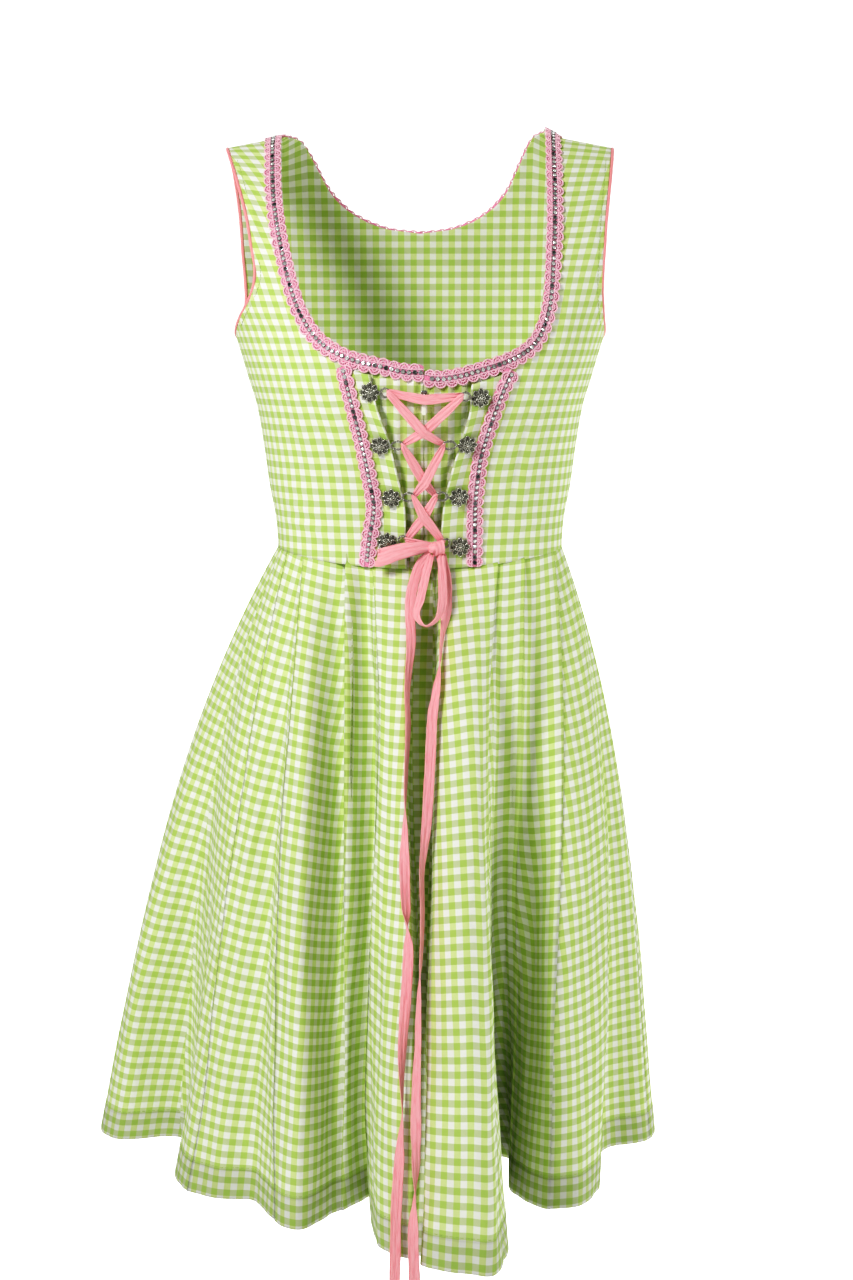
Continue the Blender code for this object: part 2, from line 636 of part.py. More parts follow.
def piping(side):
    """Round piping along the armhole, one closed loop."""
    edge = armhole_edge(side)
    count = len(edge)
    middle = sum((p for p, _ in edge), Vector()) / count
    points = []
    for i, (point, normal) in enumerate(edge):
        along = edge[(i + 1) % count][0] - edge[i - 1][0]
        away = normal.cross(along).normalized()
        if away.dot(middle - point) < 0:
            away = -away
        points.append(point + away * (PIPING_RADIUS + CLEAR) - normal * CLOTH / 2)
    curve = bpy.data.curves.new(f"piping_{side}", "CURVE")
    curve.dimensions = "3D"
    curve.bevel_depth = PIPING_RADIUS * MM
    curve.bevel_resolution = 1
    path = curve.splines.new("POLY")
    path.points.add(len(points) - 1)
    for i, point in enumerate(points):
        path.points[i].co = (*(point * MM), 1.0)
    path.use_cyclic_u = True
    return add_object(f"piping_{side}", curve, "piping")


def hook_frame(x, z, lift):
    """Matrix with its z axis square to the bodice, at a point over the lacing strip."""
    angle = angle_at(x, z)
    normal = outward(angle, z)
    right = Vector((1, 0, 0))
    up = normal.cross(right).normalized()
    right = up.cross(normal).normalized()
    place = on_body(angle, z, lift) * MM
    turn = Matrix((right, up, normal)).transposed().to_4x4()
    return Matrix.Translation(place) @ turn


def flower(tag, z, x):
    """Filigree hook: a domed rosette with eight petals."""
    petals, around = 8, 16
    bm = bmesh.new()
    profile = ((1.0, 0.0), (1.0, 0.45), (0.62, 0.85), (0.25, 1.0))
    rings = []
    for reach, height in profile:
        ring = []
        for i in range(around):
            angle = 2 * math.pi * i / around
            radius = FLOWER_RADIUS * reach * (1 + 0.06 * math.cos(petals * angle) * reach)
            ring.append(bm.verts.new((radius * math.cos(angle) * MM, radius * math.sin(angle) * MM,
                                      FLOWER_HEIGHT * height * MM)))
        rings.append(ring)
    for lower, upper in zip(rings, rings[1:]):
        for i in range(around):
            j = (i + 1) % around
            bm.faces.new((lower[i], lower[j], upper[j], upper[i]))
    bm.faces.new(rings[-1])
    bm.faces.new(list(reversed(rings[0])))
    mesh = bpy.data.meshes.new(f"hook_{tag}")
    bm.to_mesh(mesh)
    bm.free()
    obj = add_object(f"hook_{tag}", mesh, "silver")
    obj.matrix_world = flower_frame(tag, z, x)
    return obj


def flower_frame(tag, z, x):
    """Frame of a flower's underside, clear of the strip and of the braid beside it."""
    side = tag[-1]
    base = hook_frame(x, z, 0.0)
    inverse = base.inverted()
    braid_top = 2 * CLEAR + CLOTH + BRAID
    highest = 0.0
    for reach in (0.0, 0.5, 1.0):
        for i in range(16):
            angle = math.pi * i / 8
            px = x + FLOWER_RADIUS * 1.06 * reach * math.cos(angle)
            pz = z + FLOWER_RADIUS * 1.06 * reach * math.sin(angle)
            sewn, free = smooth(SEWN_LINE[side], pz), smooth(FREE_EDGE[side], pz)
            if abs(px - sewn) > abs(free - sewn):
                continue
            beside = abs(px - sewn) < BRAID_WIDTH / 2 + 0.3
            lift = braid_top if beside else strip_top(side, px, pz)
            highest = max(highest, (inverse @ (on_front(px, pz, lift) * MM)).z / MM)
    return base @ Matrix.Translation((0, 0, (highest + CLEAR) * MM))


def chain_frame(tag, z, x, tip_z, tip_x):
    """Frame of a chain loop: its x axis runs from the flower to the tip. Also its half length."""
    frame = flower_frame(tag, z, x)
    tip = frame.inverted() @ (on_front(tip_x, tip_z, 0.0) * MM)
    turn = math.atan2(tip.y, tip.x)
    start = FLOWER_RADIUS * 1.06 + CLEAR + CHAIN_RADIUS
    half_length = (math.hypot(tip.x, tip.y) / MM - start) / 2
    shift = Matrix.Translation(((start + half_length) * MM, 0, CHAIN_LIFT * MM))
    return frame @ Matrix.Rotation(turn, 4, "Z") @ shift, half_length


def chain_loop(tag, z, x, tip_z, tip_x):
    """Fine chain from a hook, bent into the loop that the ribbon runs through."""
    frame, half_length = chain_frame(tag, z, x, tip_z, tip_x)
    curve = bpy.data.curves.new(f"chain_{tag}", "CURVE")
    curve.dimensions = "3D"
    curve.bevel_depth = CHAIN_RADIUS * MM
    curve.bevel_resolution = 1
    path = curve.splines.new("POLY")
    around = 14
    path.points.add(around - 1)
    for i in range(around):
        angle = 2 * math.pi * i / around
        across = half_length * math.cos(angle)
        height = CHAIN_HALF_HEIGHT * math.sin(angle)
        path.points[i].co = (across * MM, height * MM, 0.0, 1.0)
    path.use_cyclic_u = True
    obj = add_object(f"chain_{tag}", curve, "silver")
    obj.matrix_world = frame
    return obj


def chain_tip(tag, offset):
    """Middle of the wire at the far end of a chain loop, moved out of the loop's plane."""
    row = next(row for row in HOOKS if row[0] == tag)
    frame, half_length = chain_frame(*row)
    return frame @ Vector((half_length * MM, 0, offset * MM)) / MM


def band(name, stations, finish, thickness, samples=3):
    """Ribbon through stations of (point, width, turn in degrees), flat to the front at turn 0."""
    points = spline([s[0] for s in stations], samples)
    count = len(points)
    keys = [i / (len(stations) - 1) for i in range(len(stations))]
    rows = []
    for i, point in enumerate(points):
        at = i / (count - 1)
        width = float(np.interp(at, keys, [s[1] for s in stations]))
        turn = math.radians(float(np.interp(at, keys, [s[2] for s in stations])))
        along = (points[min(i + 1, count - 1)] - points[max(i - 1, 0)]).normalized()
        facing = Vector((0, -1, 0))
        facing = (facing - along * facing.dot(along)).normalized()
        across = along.cross(facing)
        across = across * math.cos(turn) + facing * math.sin(turn)
        rows.append([point - across * width / 2, point + across * width / 2])
    return wall(name, [rows], finish, thickness, centred=True)


def crossing(first, second):
    """Fractions along two stretches, each a pair of points, at which they cross as seen from the front."""
    a, b = first[1] - first[0], second[1] - second[0]
    gap = second[0] - first[0]
    bottom = a.x * b.z - a.z * b.x
    return (gap.x * b.z - gap.z * b.x) / bottom, (gap.x * a.z - gap.z * a.x) / bottom


def lacing():
    """Ribbon stretches between the chain loops, narrow at the loops and full in the middle."""
    widths = (2.8, 5.4, RIBBON_WIDTH - 1.0, 5.4, 2.8)
    off_wire = CHAIN_RADIUS + RIBBON / 2 + CLEAR
    start, end = chain_tip("1_r", -off_wire), chain_tip("1_l", -off_wire)
    middle = (start + end) / 2
    runs = [("lace_top", start, on_front(middle.x, middle.z - LACE_TOP_SAG, LACE_TOP_LIFT), end)]
    for rows in zip(LACING[::2], LACING[1::2]):
        ends = [(chain_tip(first, off_wire), chain_tip(last, -off_wire)) for _, first, last, _ in rows]
        for row, (start, end), at in zip(rows, ends, crossing(*ends)):
            place = start.lerp(end, at)
            runs.append((row[0], start, on_front(place.x, place.z, row[3]), end))
    for name, start, middle, end in runs:
        places = (start, start.lerp(middle, 0.5), middle, middle.lerp(end, 0.5), end)
        band(name, [(place, width, 0) for place, width in zip(places, widths)], "ribbon", RIBBON)


def bow():
    """Knot, folded side loop and hanging loop of the bow."""
    x, z, lift = KNOT
    bm = bmesh.new()
    bmesh.ops.create_uvsphere(bm, u_segments=12, v_segments=8, radius=0.5)
    for vert in bm.verts:
        vert.co = Vector((vert.co.x * KNOT_SIZE[0], vert.co.y * KNOT_SIZE[1], vert.co.z * KNOT_SIZE[2])) * MM
    mesh = bpy.data.meshes.new("ribbon_knot")
    bm.to_mesh(mesh)
    bm.free()
    knot = add_object("ribbon_knot", mesh, "ribbon")
    knot.matrix_world = hook_frame(x, z, lift)
    stations = [(on_front(px, pz, pl), BOW_LOOP_WIDTH, 0) for px, pz, pl in BOW_LOOP]
    band("bow_side_loop", stations, "ribbon", BOW_LOOP_WALL)
    stations = [(Vector((px, -forward, pz)), RIBBON_WIDTH - 1.5, 0) for px, forward, pz in HANGING_LOOP]
    band("bow_hanging_loop", stations, "ribbon", RIBBON)


def fold_rows(folds, side):
    """Forward distance by height of one fold line, for what hangs over it."""
    line = next(row for row in folds if row[0] == side)
    top = waist_height(line[1])
    start = -on_front(line[1], top).y
    rows = []
    for v in fractions(9):
        rows.append((top + (HEM - top) * v, through_stations((start, *line[5:8]), v)))
    return sorted(rows)


def tails():
    """The two free ends of the ribbon, hanging over the centre pleat."""
    for name, table, line in (("ribbon_tail_r", TAIL_R, "pleat_left"), ("ribbon_tail_l", TAIL_L, "pleat_right")):
        rows = fold_rows(FRONT_FOLDS, line)
        stations = []
        for x, z, turn in table:
            forward = smooth(rows, z) + TAIL_STAND_OFF
            held_out = max(0.0, 1 - (WAIST_SIDE - z) / 40.0) if z < WAIST_SIDE else 1.0
            forward += held_out * 2.8
            stations.append((Vector((x, -forward, z)), RIBBON_WIDTH, turn))
        band(name, stations, "ribbon", RIBBON, samples=2)


def fold_points(folds, v, backward):
    """Cross-section points of one side of the skirt, at a fraction of its length."""
    points = []
    for _, x0, x1, x2, x3, d1, d2, d3, tuck in folds:
        top = waist_height(x0) - SEAM
        angle = angle_at(x0, top)
        here = on_body(angle, top, -tuck, backward)
        depth0 = here.y if backward else -here.y
        x = through_stations((here.x, x1, x2, x3), v)
        depth = through_stations((depth0, d1, d2, d3), v)
        points.append(Vector((x, depth if backward else -depth, top + (HEM - top) * v)))
    return points


def skirt(name, folds, backward):
    """Half of the skirt from side seam to side seam, its folds running from waist to hem."""
    other = FRONT_FOLDS if backward else BACK_FOLDS
    rows = []
    for v in SKIRT_ROWS:
        beside = fold_points(other, v, not backward)
        row = spline(fold_points(folds, v, backward), SKIRT_SAMPLES, beside[-2], beside[1])
        row[0] = row[0] + (row[1] - row[0]).normalized() * SIDE_SEAM / 2
        row[-1] = row[-1] + (row[-2] - row[-1]).normalized() * SIDE_SEAM / 2
        rows.append(row)
    return wall(name, [rows], "gingham", CLOTH)


def prism(name, outline, depth, finish):
    """Solid with an outline of points, as deep as the vector and centred on the outline."""
    bm = bmesh.new()
    near = [bm.verts.new((p - depth / 2) * MM) for p in outline]
    far = [bm.verts.new((p + depth / 2) * MM) for p in outline]
    bm.faces.new(near)
    bm.faces.new(list(reversed(far)))
    for i, vert in enumerate(near):
        bm.faces.new((vert, far[i], far[(i + 1) % len(far)], near[(i + 1) % len(near)]))
    bmesh.ops.recalc_face_normals(bm, faces=bm.faces)
    mesh = bpy.data.meshes.new(name)
    bm.to_mesh(mesh)
    bm.free()
    return add_object(name, mesh, finish)


def zip_parts():
    """Slider on the centre opening and the pull tab that hangs straight down from its bridge."""
    frame = hook_frame(ZIP_X, SLIDER_Z, CLEAR)
    width, height, thickness = SLIDER
    profile = (
        (-height / 2, 0.0), (height / 2, 0.0), (height / 2, thickness), (BRIDGE[0] / 2, thickness),
        (BRIDGE[0] / 2 - 0.3, thickness + BRIDGE[1]), (0.3 - BRIDGE[0] / 2, thickness + BRIDGE[1]),
        (-BRIDGE[0] / 2, thickness), (-height / 2, thickness),
    )
    slider = prism("zip_slider", [Vector((0, y, z)) for y, z in profile], Vector((width, 0, 0)), "silver")
    slider.matrix_world = frame
    half, length, tab = PULL[0] / 2, PULL[1], PULL[2]
    hinge = frame @ Vector((0, 0, (thickness + BRIDGE[1] + CLEAR + tab / 2) * MM))
    outline = [(-half * 0.7, PULL_EYE), (-half * 0.8, PULL_EYE - 2), (-half, PULL_EYE - length + 1.6)]
    outline += [(-half * 0.62, PULL_EYE - length + 0.35), (0, PULL_EYE - length)]
    outline += [(-x, y) for x, y in reversed(outline[:-1])]
    pull = prism("zip_pull", [Vector((x, 0, z)) for x, z in outline], Vector((0, tab, 0)), "zip_enamel")
    pull.matrix_world = Matrix.Translation(hinge)


for old in list(bpy.data.objects):
    bpy.data.objects.remove(old, do_unlink=True)
PARTS = bpy.data.collections.new(NAME)
bpy.context.scene.collection.children.link(PARTS)

GIRTH.update({False: girth_table(False), True: girth_table(True)})

for wearer_side in "rl":
    side_front(wearer_side)
    centre_front(wearer_side)
    lacing_strip(wearer_side)
    piping(wearer_side)
bodice_back()
neck_braids()
front_braids()
for hook_tag, flower_z, flower_x, loop_z, loop_x in HOOKS:
    flower(hook_tag, flower_z, flower_x)
    chain_loop(hook_tag, flower_z, flower_x, loop_z, loop_x)
lacing()
bow()
tails()
skirt("skirt_front", FRONT_FOLDS, False)
skirt("skirt_back", BACK_FOLDS, True)
zip_parts()
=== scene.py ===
"""Dirndl dress: the visible cloth, trim, hooks and ribbon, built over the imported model.

Tables and helpers work in millimetres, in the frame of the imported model: +Z up, the front
faces -Y, the wearer's left is +X and pieces end in _l and _r for the wearer's sides.
"""

import json
import math
import random
from bisect import bisect_right
from functools import lru_cache

import bmesh
import bpy
import numpy as np
from mathutils import Matrix, Vector

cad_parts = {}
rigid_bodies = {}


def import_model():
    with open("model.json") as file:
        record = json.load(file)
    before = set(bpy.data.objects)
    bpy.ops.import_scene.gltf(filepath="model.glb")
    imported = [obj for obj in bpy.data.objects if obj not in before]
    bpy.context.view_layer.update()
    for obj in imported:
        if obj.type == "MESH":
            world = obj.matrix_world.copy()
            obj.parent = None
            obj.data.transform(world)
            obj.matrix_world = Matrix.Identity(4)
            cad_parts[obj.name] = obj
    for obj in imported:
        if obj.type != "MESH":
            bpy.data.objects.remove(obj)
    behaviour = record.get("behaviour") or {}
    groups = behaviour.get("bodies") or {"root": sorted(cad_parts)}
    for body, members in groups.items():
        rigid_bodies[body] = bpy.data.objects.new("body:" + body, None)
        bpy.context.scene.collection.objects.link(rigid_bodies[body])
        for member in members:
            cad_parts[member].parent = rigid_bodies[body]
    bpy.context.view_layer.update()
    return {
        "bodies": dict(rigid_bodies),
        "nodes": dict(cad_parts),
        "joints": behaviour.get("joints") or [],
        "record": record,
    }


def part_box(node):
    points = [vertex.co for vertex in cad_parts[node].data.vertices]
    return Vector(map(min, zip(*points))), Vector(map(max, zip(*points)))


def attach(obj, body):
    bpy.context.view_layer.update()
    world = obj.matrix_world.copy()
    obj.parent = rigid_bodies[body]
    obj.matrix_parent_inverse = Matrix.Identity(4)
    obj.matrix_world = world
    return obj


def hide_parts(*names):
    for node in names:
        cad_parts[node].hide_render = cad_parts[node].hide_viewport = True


bl_info = {
    "name": "Dirndl dress",
    "version": (1, 0, 0),
    "blender": (4, 5, 0),
    "location": "View3D > Sidebar > Dirndl",
    "description": "Gingham cloth, crocheted braid, hooks and lacing ribbon of a dirndl dress",
    "category": "Object",
}

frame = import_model()
MM = 0.001
# The wearer's right and left on the x axis
SIGNS = {"r": -1, "l": 1}

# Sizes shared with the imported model
CLOTH = 1.2
BRAID = 1.4
SEAM = 0.5
SIDE_SEAM = 1.0
CLEAR = 0.45
BRAID_CLEAR = 0.7
BRAID_WIDTH = 14.0
NECK_ALLOWANCE = 5.0
RIBBON_WIDTH = 7.5
RIBBON_THICKNESS = 0.45
PIPING_RADIUS = 1.2
FLOWER_RADIUS = 7.2
CHAIN_RADIUS = 0.7
CHAIN_HALF_HEIGHT = 3.1
CHAIN_LIFT = 2.8
STRIP_PROUD = 3.0
WAIST_SIDE = -307.5
WAIST_DIP = 10.5
UNDERARM = -151.0
ARMHOLE_LOW = -147.0
NECK_BACK_LOW = -68.0
DIP_START = -284.0
LACED_TOP = -180.0
HEM = -779.0
SQUARENESS = 2.3
SHOULDER_SLOPE = 0.19
NECK_SLOPE = 0.45
NECK_POINT = 104.0
SLOPE_CENTRE = 110.0
SLOPE_FADE = 60.0
ZIP_X = 3.2
FRONT_LEVEL = -128.0
BACK_LEVEL = -39.0
BACK_SHIFT = -3.0
LACE_TOP_LIFT = 8.4
LACE_TOP_SAGS = (0.8, 1.6, 2.2, 1.6, 0.8)
TAIL_STAND_OFF = 6.5
SLIDER_Z = -188.8
HEM_DEPTH = 22.0

# height, half width, front depth and back depth of the bodice
BODY = (
    (-330, 111.0, 88.0, 81.0),
    (-309, 109.0, 86.0, 80.0),
    (-289, 110.0, 89.0, 81.0),
    (-260, 115.0, 97.0, 86.0),
    (-230, 119.0, 108.0, 89.0),
    (-200, 124.0, 120.0, 91.0),
    (-180, 130.0, 124.0, 92.0),
    (-163, 135.0, 122.0, 92.0),
    (-150, 139.0, 118.0, 92.0),
    (-138, 143.0, 114.0, 91.0),
    (-120, 151.0, 108.0, 90.0),
    (-100, 159.0, 100.0, 88.0),
    (-75, 168.0, 85.0, 80.0),
    (-50, 176.0, 67.0, 70.0),
    (-30, 182.0, 50.0, 56.0),
    (-15, 186.0, 34.5, 41.0),
    (-6, 188.0, 21.5, 26.0),
    (-1.5, 189.0, 10.8, 13.0),
    (0, 190.0, 0.3, 0.3),
)
HALF_WIDTH = tuple((row[0], row[1]) for row in BODY)
DEPTH = {back: tuple((row[0], row[3 if back else 2]) for row in BODY) for back in (False, True)}

# Lines on the front, each a row of (height, x)
SEWN_LINE = {
    "r": ((-320, -39), (-296, -36.5), (-271, -33), (-252, -36), (-228, -40.5), (-190, -49.5), (-160, -57)),
    "l": ((-320, 40), (-277, 40), (-239, 43), (-219, 48), (-186, 59.5), (-172, 66.5), (-160, 72)),
}
FREE_EDGE = {
    "r": ((-320, -9.5), (-289, -10), (-270, -10.7), (-256, -13.6), (-217, -22.7), (-197, -29.8), (-172, -36)),
    "l": ((-320, 15), (-289, 15.6), (-271, 17), (-243, 22.8), (-215, 31.3), (-197, 35.5), (-175, 37)),
}
FRONT_ARMHOLE = {
    "r": ((-147, -139), (-134, -133), (-121, -125), (-103, -119.5), (-90, -121.5), (-63, -126),
          (-30, -135), (0, -144)),
    "l": ((-147, 139.5), (-130, 136), (-112, 134.4), (-66, 136.7), (-40, 139.5), (0, 144)),
}
BACK_ARMHOLE = ((-147, 139.5), (-119, 135), (-90, 137), (-60, 138.5), (-30, 141), (0, 144))
# Centre line of the neck braid on the front, as (x, height), and neck edge at the back
NECK_FRONT = {
    "r": ((2.6, -173.6), (-12, -173), (-26, -169.6), (-41.6, -166.4), (-57, -161), (-69.6, -153.5),
          (-79, -143), (-86.6, -130), (-94, -109), (-99, -90), (-104, -67), (-107.7, -42), (-110, 0)),
    "l": ((3.8, -177), (13.9, -178.2), (31, -175.6), (44, -172), (58.6, -167.4), (72, -161.5),
          (84, -152), (90.9, -137.4), (94.7, -121), (97, -92), (98.7, -67), (99.3, -41), (99, 0)),
}
NECK_BACK = ((0, -68), (20, -66), (44, -58), (66, -42), (80, -20), (88, -8), (96, -2), (100, 0))
# Hooks: height and x of each flower, height and x of the far end of its chain loop
HOOKS = (
    ("1_r", -186.4, -34.7, -186.0, -20.5),
    ("2_r", -224.1, -27.9, -221.8, -10.8),
    ("3_r", -263.3, -20.2, -260.6, -3.6),
    ("4_r", -296.9, -23.3, -294.0, -8.6),
    ("1_l", -190.1, 42.6, -188.0, 28.0),
    ("2_l", -223.4, 33.5, -221.8, 15.6),
    ("3_l", -262.6, 28.0, -260.3, 10.4),
    ("4_l", -300.7, 28.9, -296.4, 16.0),
)
# Lacing: name, first loop, last loop, lift over the cloth where it crosses the next row
LACING = (
    ("lace_1_over", "1_r", "2_l", 12.2),
    ("lace_1_under", "1_l", "2_r", 8.2),
    ("lace_2_over", "2_l", "3_r", 11.7),
    ("lace_2_under", "2_r", "3_l", 8.6),
    ("lace_3_over", "3_r", "4_l", 11.4),
    ("lace_3_under", "3_l", "4_r", 8.6),
)
KNOT = (11.8, -299.8, 11.0)  # x, height and lift of the middle of the knot
KNOT_SIZE = (13.0, 10.0, 9.0)
BOW_LOOP = ((3.6, -299.0, 11.6), (-12.0, -301.6, 14.0), (-27.5, -308.6, 13.4))  # x, height, lift
HANGING_LOOP = (
    (15.9, 98.6, -307.0), (16.6, 108, -324), (16.2, 117, -341), (12.0, 121, -351.5), (4.6, 122.5, -355.9),
    (-1.9, 120, -349), (0.6, 115, -337), (4.2, 108, -321), (8.1, 98.6, -307.0),
)
# How far the hanging loop is turned at its points, in degrees
HANGING_TURNS = (10, 20, 30, 62, 80, 50, 20, 25, 10)
# Ends of the ribbon: x, height, turn about their own length in degrees
TAIL_R = (
    (8.4, -306.2, 0), (0.5, -314, 0), (-5.6, -332, 0), (-7, -347, 5), (-6.2, -368, 25), (-8.8, -398, 58),
    (-8.3, -427, 63), (-10.3, -475, 76), (-10.6, -520, 176), (-9.4, -550, 218), (-7.6, -574, 332), (-9.3, -606, 362),
    (-11.6, -637, 394), (-12.4, -661, 422), (-12, -684, 452), (-13.9, -715, 518), (-15.9, -745, 540),
    (-16.5, -776, 540), (-17.2, -801, 552),
)
TAIL_L = (
    (15.6, -306.6, 0), (19.4, -325, 0), (19.9, -345, 20), (17.2, -360, 60), (14.8, -380, 80), (12.6, -396, 130),
    (9.4, -418, 180), (7.4, -454, 180), (5.2, -490, 190), (1.6, -526, 243), (2.2, -550, 248), (1.2, -582, 253),
    (-0.2, -606, 292), (-1.1, -637, 306), (-2.2, -666, 326), (-2.3, -692, 348), (-2.4, -716, 402), (-4.2, -757, 528),
    (-3.4, -784, 540), (-2.8, -800, 556),
)
# Width of the lacing in each row of loops, from the top
LOOP_WIDTHS = {"1": 4.6, "2": 3.5, "3": 3.5, "4": 3.8}
SLIDER = (5.0, 6.0, 1.6)  # width, height and thickness
BRIDGE = (2.6, 1.35)  # height and rise of the slider's bridge
PULL = (3.4, 14.5, 1.0)  # width, length and thickness of the tab
# Fractions of the skirt's length at which its folds are given
STATIONS = (0.0, 0.25, 0.6, 1.0)
# Folds of the skirt: name, x at the four stations, forward at the last three, tuck at the waist.
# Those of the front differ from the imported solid's where its cloth lies deeper or to one side.
FRONT_FOLDS = (
    ("side_r", -109, -165, -216, -257, -12, -25, -40, 0),
    ("corner_r", -108.3, -160, -207, -242, 6, 6, 2, 0),
    ("hollow_1", -106.5, -145, -174, -190, 28, 16, -4, 0.6),
    ("fold_1_edge", -104, -133, -156, -184, 57, 78, 98, 0),
    ("fold_1_turn", -100, -124, -147, -173, 67, 94, 124, 0),
    ("fold_1_crest", -94.5, -113, -133, -151, 76, 107, 139, 0),
    ("fold_1_end", -90.5, -102, -113, -124, 80, 112, 144, 0),
    ("fold_2_edge", -87, -96, -104, -105, 98, 141, 188, 0),
    ("fold_2_crest", -79, -83, -85, -86, 108, 160, 206, 0),
    ("hollow_2", -60, -57.5, -59.5, -65, 87, 121, 177, 0),
    ("fold_3_edge", -55, -55, -55, -56, 109, 134, 168, 0),
    ("hollow_3", -43, -34, -36.5, -36.5, 90, 117, 136, 3),
    ("fold_4_edge", -35, -30, -35, -35.5, 121, 159, 185, 0),
    ("fold_4_wall", -26, -23, -25, -24, 131, 186, 246, 0),
    ("pleat_left", -6, -10, -7, -8, 141, 203, 264, 0),
    ("pleat_inside_r", -1, -5, -1.5, -2, 93, 171, 258, 16.6),
    ("pleat_inside_l", 10, 9, 6, 3, 91, 173, 260, 16.6),
    ("pleat_right", 15, 15, 9.5, 0.5, 145, 210, 275, 0),
    ("fold_5_crest", 36, 38, 36, 30, 154, 226, 291, 0),
    ("fold_5_turn", 48, 45, 46, 49, 148, 220, 297, 0),
    ("fold_5_edge", 58, 49, 49, 59, 137, 203, 270, 0),
    ("fold_5_wall", 61.5, 53, 51.5, 60, 120, 136, 150, 0),
    ("hollow_5_r", 65, 58, 56, 61, 106, 83, 44, 0),
    ("hollow_5_l", 71, 66, 63, 69, 102, 78, 50, 0),
    ("fold_6_edge", 78, 74, 72, 68, 100, 88, 116, 0),
    ("hollow_6", 85.5, 84, 84, 78, 81, 95, 147, 0),
    ("fold_7_crest", 101, 107, 102, 95, 77, 123, 165, 0),
    ("fold_7_turn", 105, 121, 123, 115, 62, 106, 157, 0),
    ("fold_7_edge", 107.5, 132, 141, 133, 46, 78, 118, 0),
    ("hollow_7", 108.3, 135, 145, 142, 24, 30, 30, 0.6),
    ("side_l", 109, 143, 167, 181, 0, 2, 2, 0),
)
BACK_FOLDS = (
    # name, x at the four stations, backward at the last three, tuck at the waist
    ("side_l", 109.0, 143, 167, 181, 0, -2, -2, 0.0),
    ("back_1_crest", 106.0, 138, 164, 184, 33, 50, 66, 0.0),
    ("back_hollow_1", 99.5, 117, 136, 150, 62, 84, 104, 2.4),
    ("back_2_edge", 91.0, 113, 133, 150, 84, 126, 170, 0.0),
    ("back_2_crest", 82.0, 100, 114, 125, 97, 144, 191, 0.0),
    ("back_hollow_2", 70.0, 81, 90, 97, 86, 114, 144, 2.4),
    ("back_3_edge", 61.0, 65, 69, 74, 115, 166, 216, 0.0),
    ("back_3_crest", 42.0, 44, 43, 40, 122, 178, 230, 0.0),
    ("back_hollow_3", 5.0, 5, 5, 5, 94, 130, 166, 3.0),
    ("back_4_crest", -28.0, -29, -30, -32, 121, 176, 230, 0.0),
    ("back_4_edge", -54.0, -59, -65, -70, 117, 168, 221, 0.0),
    ("back_hollow_4", -70.0, -82, -92, -101, 88, 118, 150, 2.4),
    ("back_5_crest", -82.0, -101, -119, -135, 96, 146, 194, 0.0),
    ("back_5_edge", -92.0, -120, -146, -167, 82, 128, 172, 0.0),
    ("back_hollow_5", -99.5, -131, -162, -189, 62, 80, 100, 2.4),
    ("back_6_crest", -105.5, -153, -199, -238, 42, 66, 92, 0.0),
    ("side_r", -109.0, -165, -216, -257, 12, 25, 40, 0.0),
)
# Heights of the points round an armhole
ARMHOLE_ROWS = (-146, -136, -124, -112, -98, -80, -62, -45, -29, -16, -7.5, -2.8, -0.7)
BACK_ARMHOLE_ROWS = (-146, -136, -122, -104, -86, -68, -60, -50, -38, -27, -17, -10, -5.5, -2.4, -0.7)


@lru_cache(maxsize=None)
def tangents(table):
    """Keys, values and slopes of a table of (key, value) rows, so that its cubic doesn't overshoot."""
    keys = [float(row[0]) for row in table]
    values = [float(row[1]) for row in table]
    chords = [(values[i + 1] - values[i]) / (keys[i + 1] - keys[i]) for i in range(len(keys) - 1)]
    slopes = [chords[0]]
    for before, after in zip(chords, chords[1:]):
        slopes.append(2 * before * after / (before + after) if before * after > 0 else 0.0)
    return keys, values, slopes + [chords[-1]]


def smooth(table, at):
    """Value at a key of a table of (key, value) rows."""
    keys, values, slopes = tangents(tuple(table))
    at = min(max(at, keys[0]), keys[-1])
    i = min(max(bisect_right(keys, at) - 1, 0), len(keys) - 2)
    step = keys[i + 1] - keys[i]
    t = (at - keys[i]) / step
    return (values[i] * (1 + 2 * t) * (1 - t) ** 2 + slopes[i] * step * t * (1 - t) ** 2
            + values[i + 1] * t * t * (3 - 2 * t) + slopes[i + 1] * step * t * t * (t - 1))


def spline(points, samples, before=None, after=None):
    """Centripetal Catmull-Rom curve through an open row of points, ends included."""
    points = [Vector(p) for p in points]
    before = points[0] * 2 - points[1] if before is None else before
    after = points[-1] * 2 - points[-2] if after is None else after
    ext = [before] + points + [after]
    out = []
    for i in range(1, len(ext) - 2):
        p0, p1, p2, p3 = ext[i - 1:i + 3]
        t1 = max((p1 - p0).length, 1e-6) ** 0.5
        t2 = t1 + max((p2 - p1).length, 1e-6) ** 0.5
        t3 = t2 + max((p3 - p2).length, 1e-6) ** 0.5
        for k in range(samples):
            t = t1 + (t2 - t1) * k / samples
            a1 = p0 * ((t1 - t) / t1) + p1 * (t / t1)
            a2 = p1 * ((t2 - t) / (t2 - t1)) + p2 * ((t - t1) / (t2 - t1))
            a3 = p2 * ((t3 - t) / (t3 - t2)) + p3 * ((t - t2) / (t3 - t2))
            b1 = a1 * ((t2 - t) / t2) + a2 * (t / t2)
            b2 = a2 * ((t3 - t) / (t3 - t1)) + a3 * ((t - t1) / (t3 - t1))
            out.append(b1 * ((t2 - t) / (t2 - t1)) + b2 * ((t - t1) / (t2 - t1)))
    out.append(points[-1].copy())
    return out


def through_stations(values, v):
    """Cubic through the values at the four stations of the skirt."""
    total = 0.0
    for i, value in enumerate(values):
        weight = 1.0
        for j, station in enumerate(STATIONS):
            if j != i:
                weight *= (v - station) / (STATIONS[i] - station)
        total += weight * value
    return total


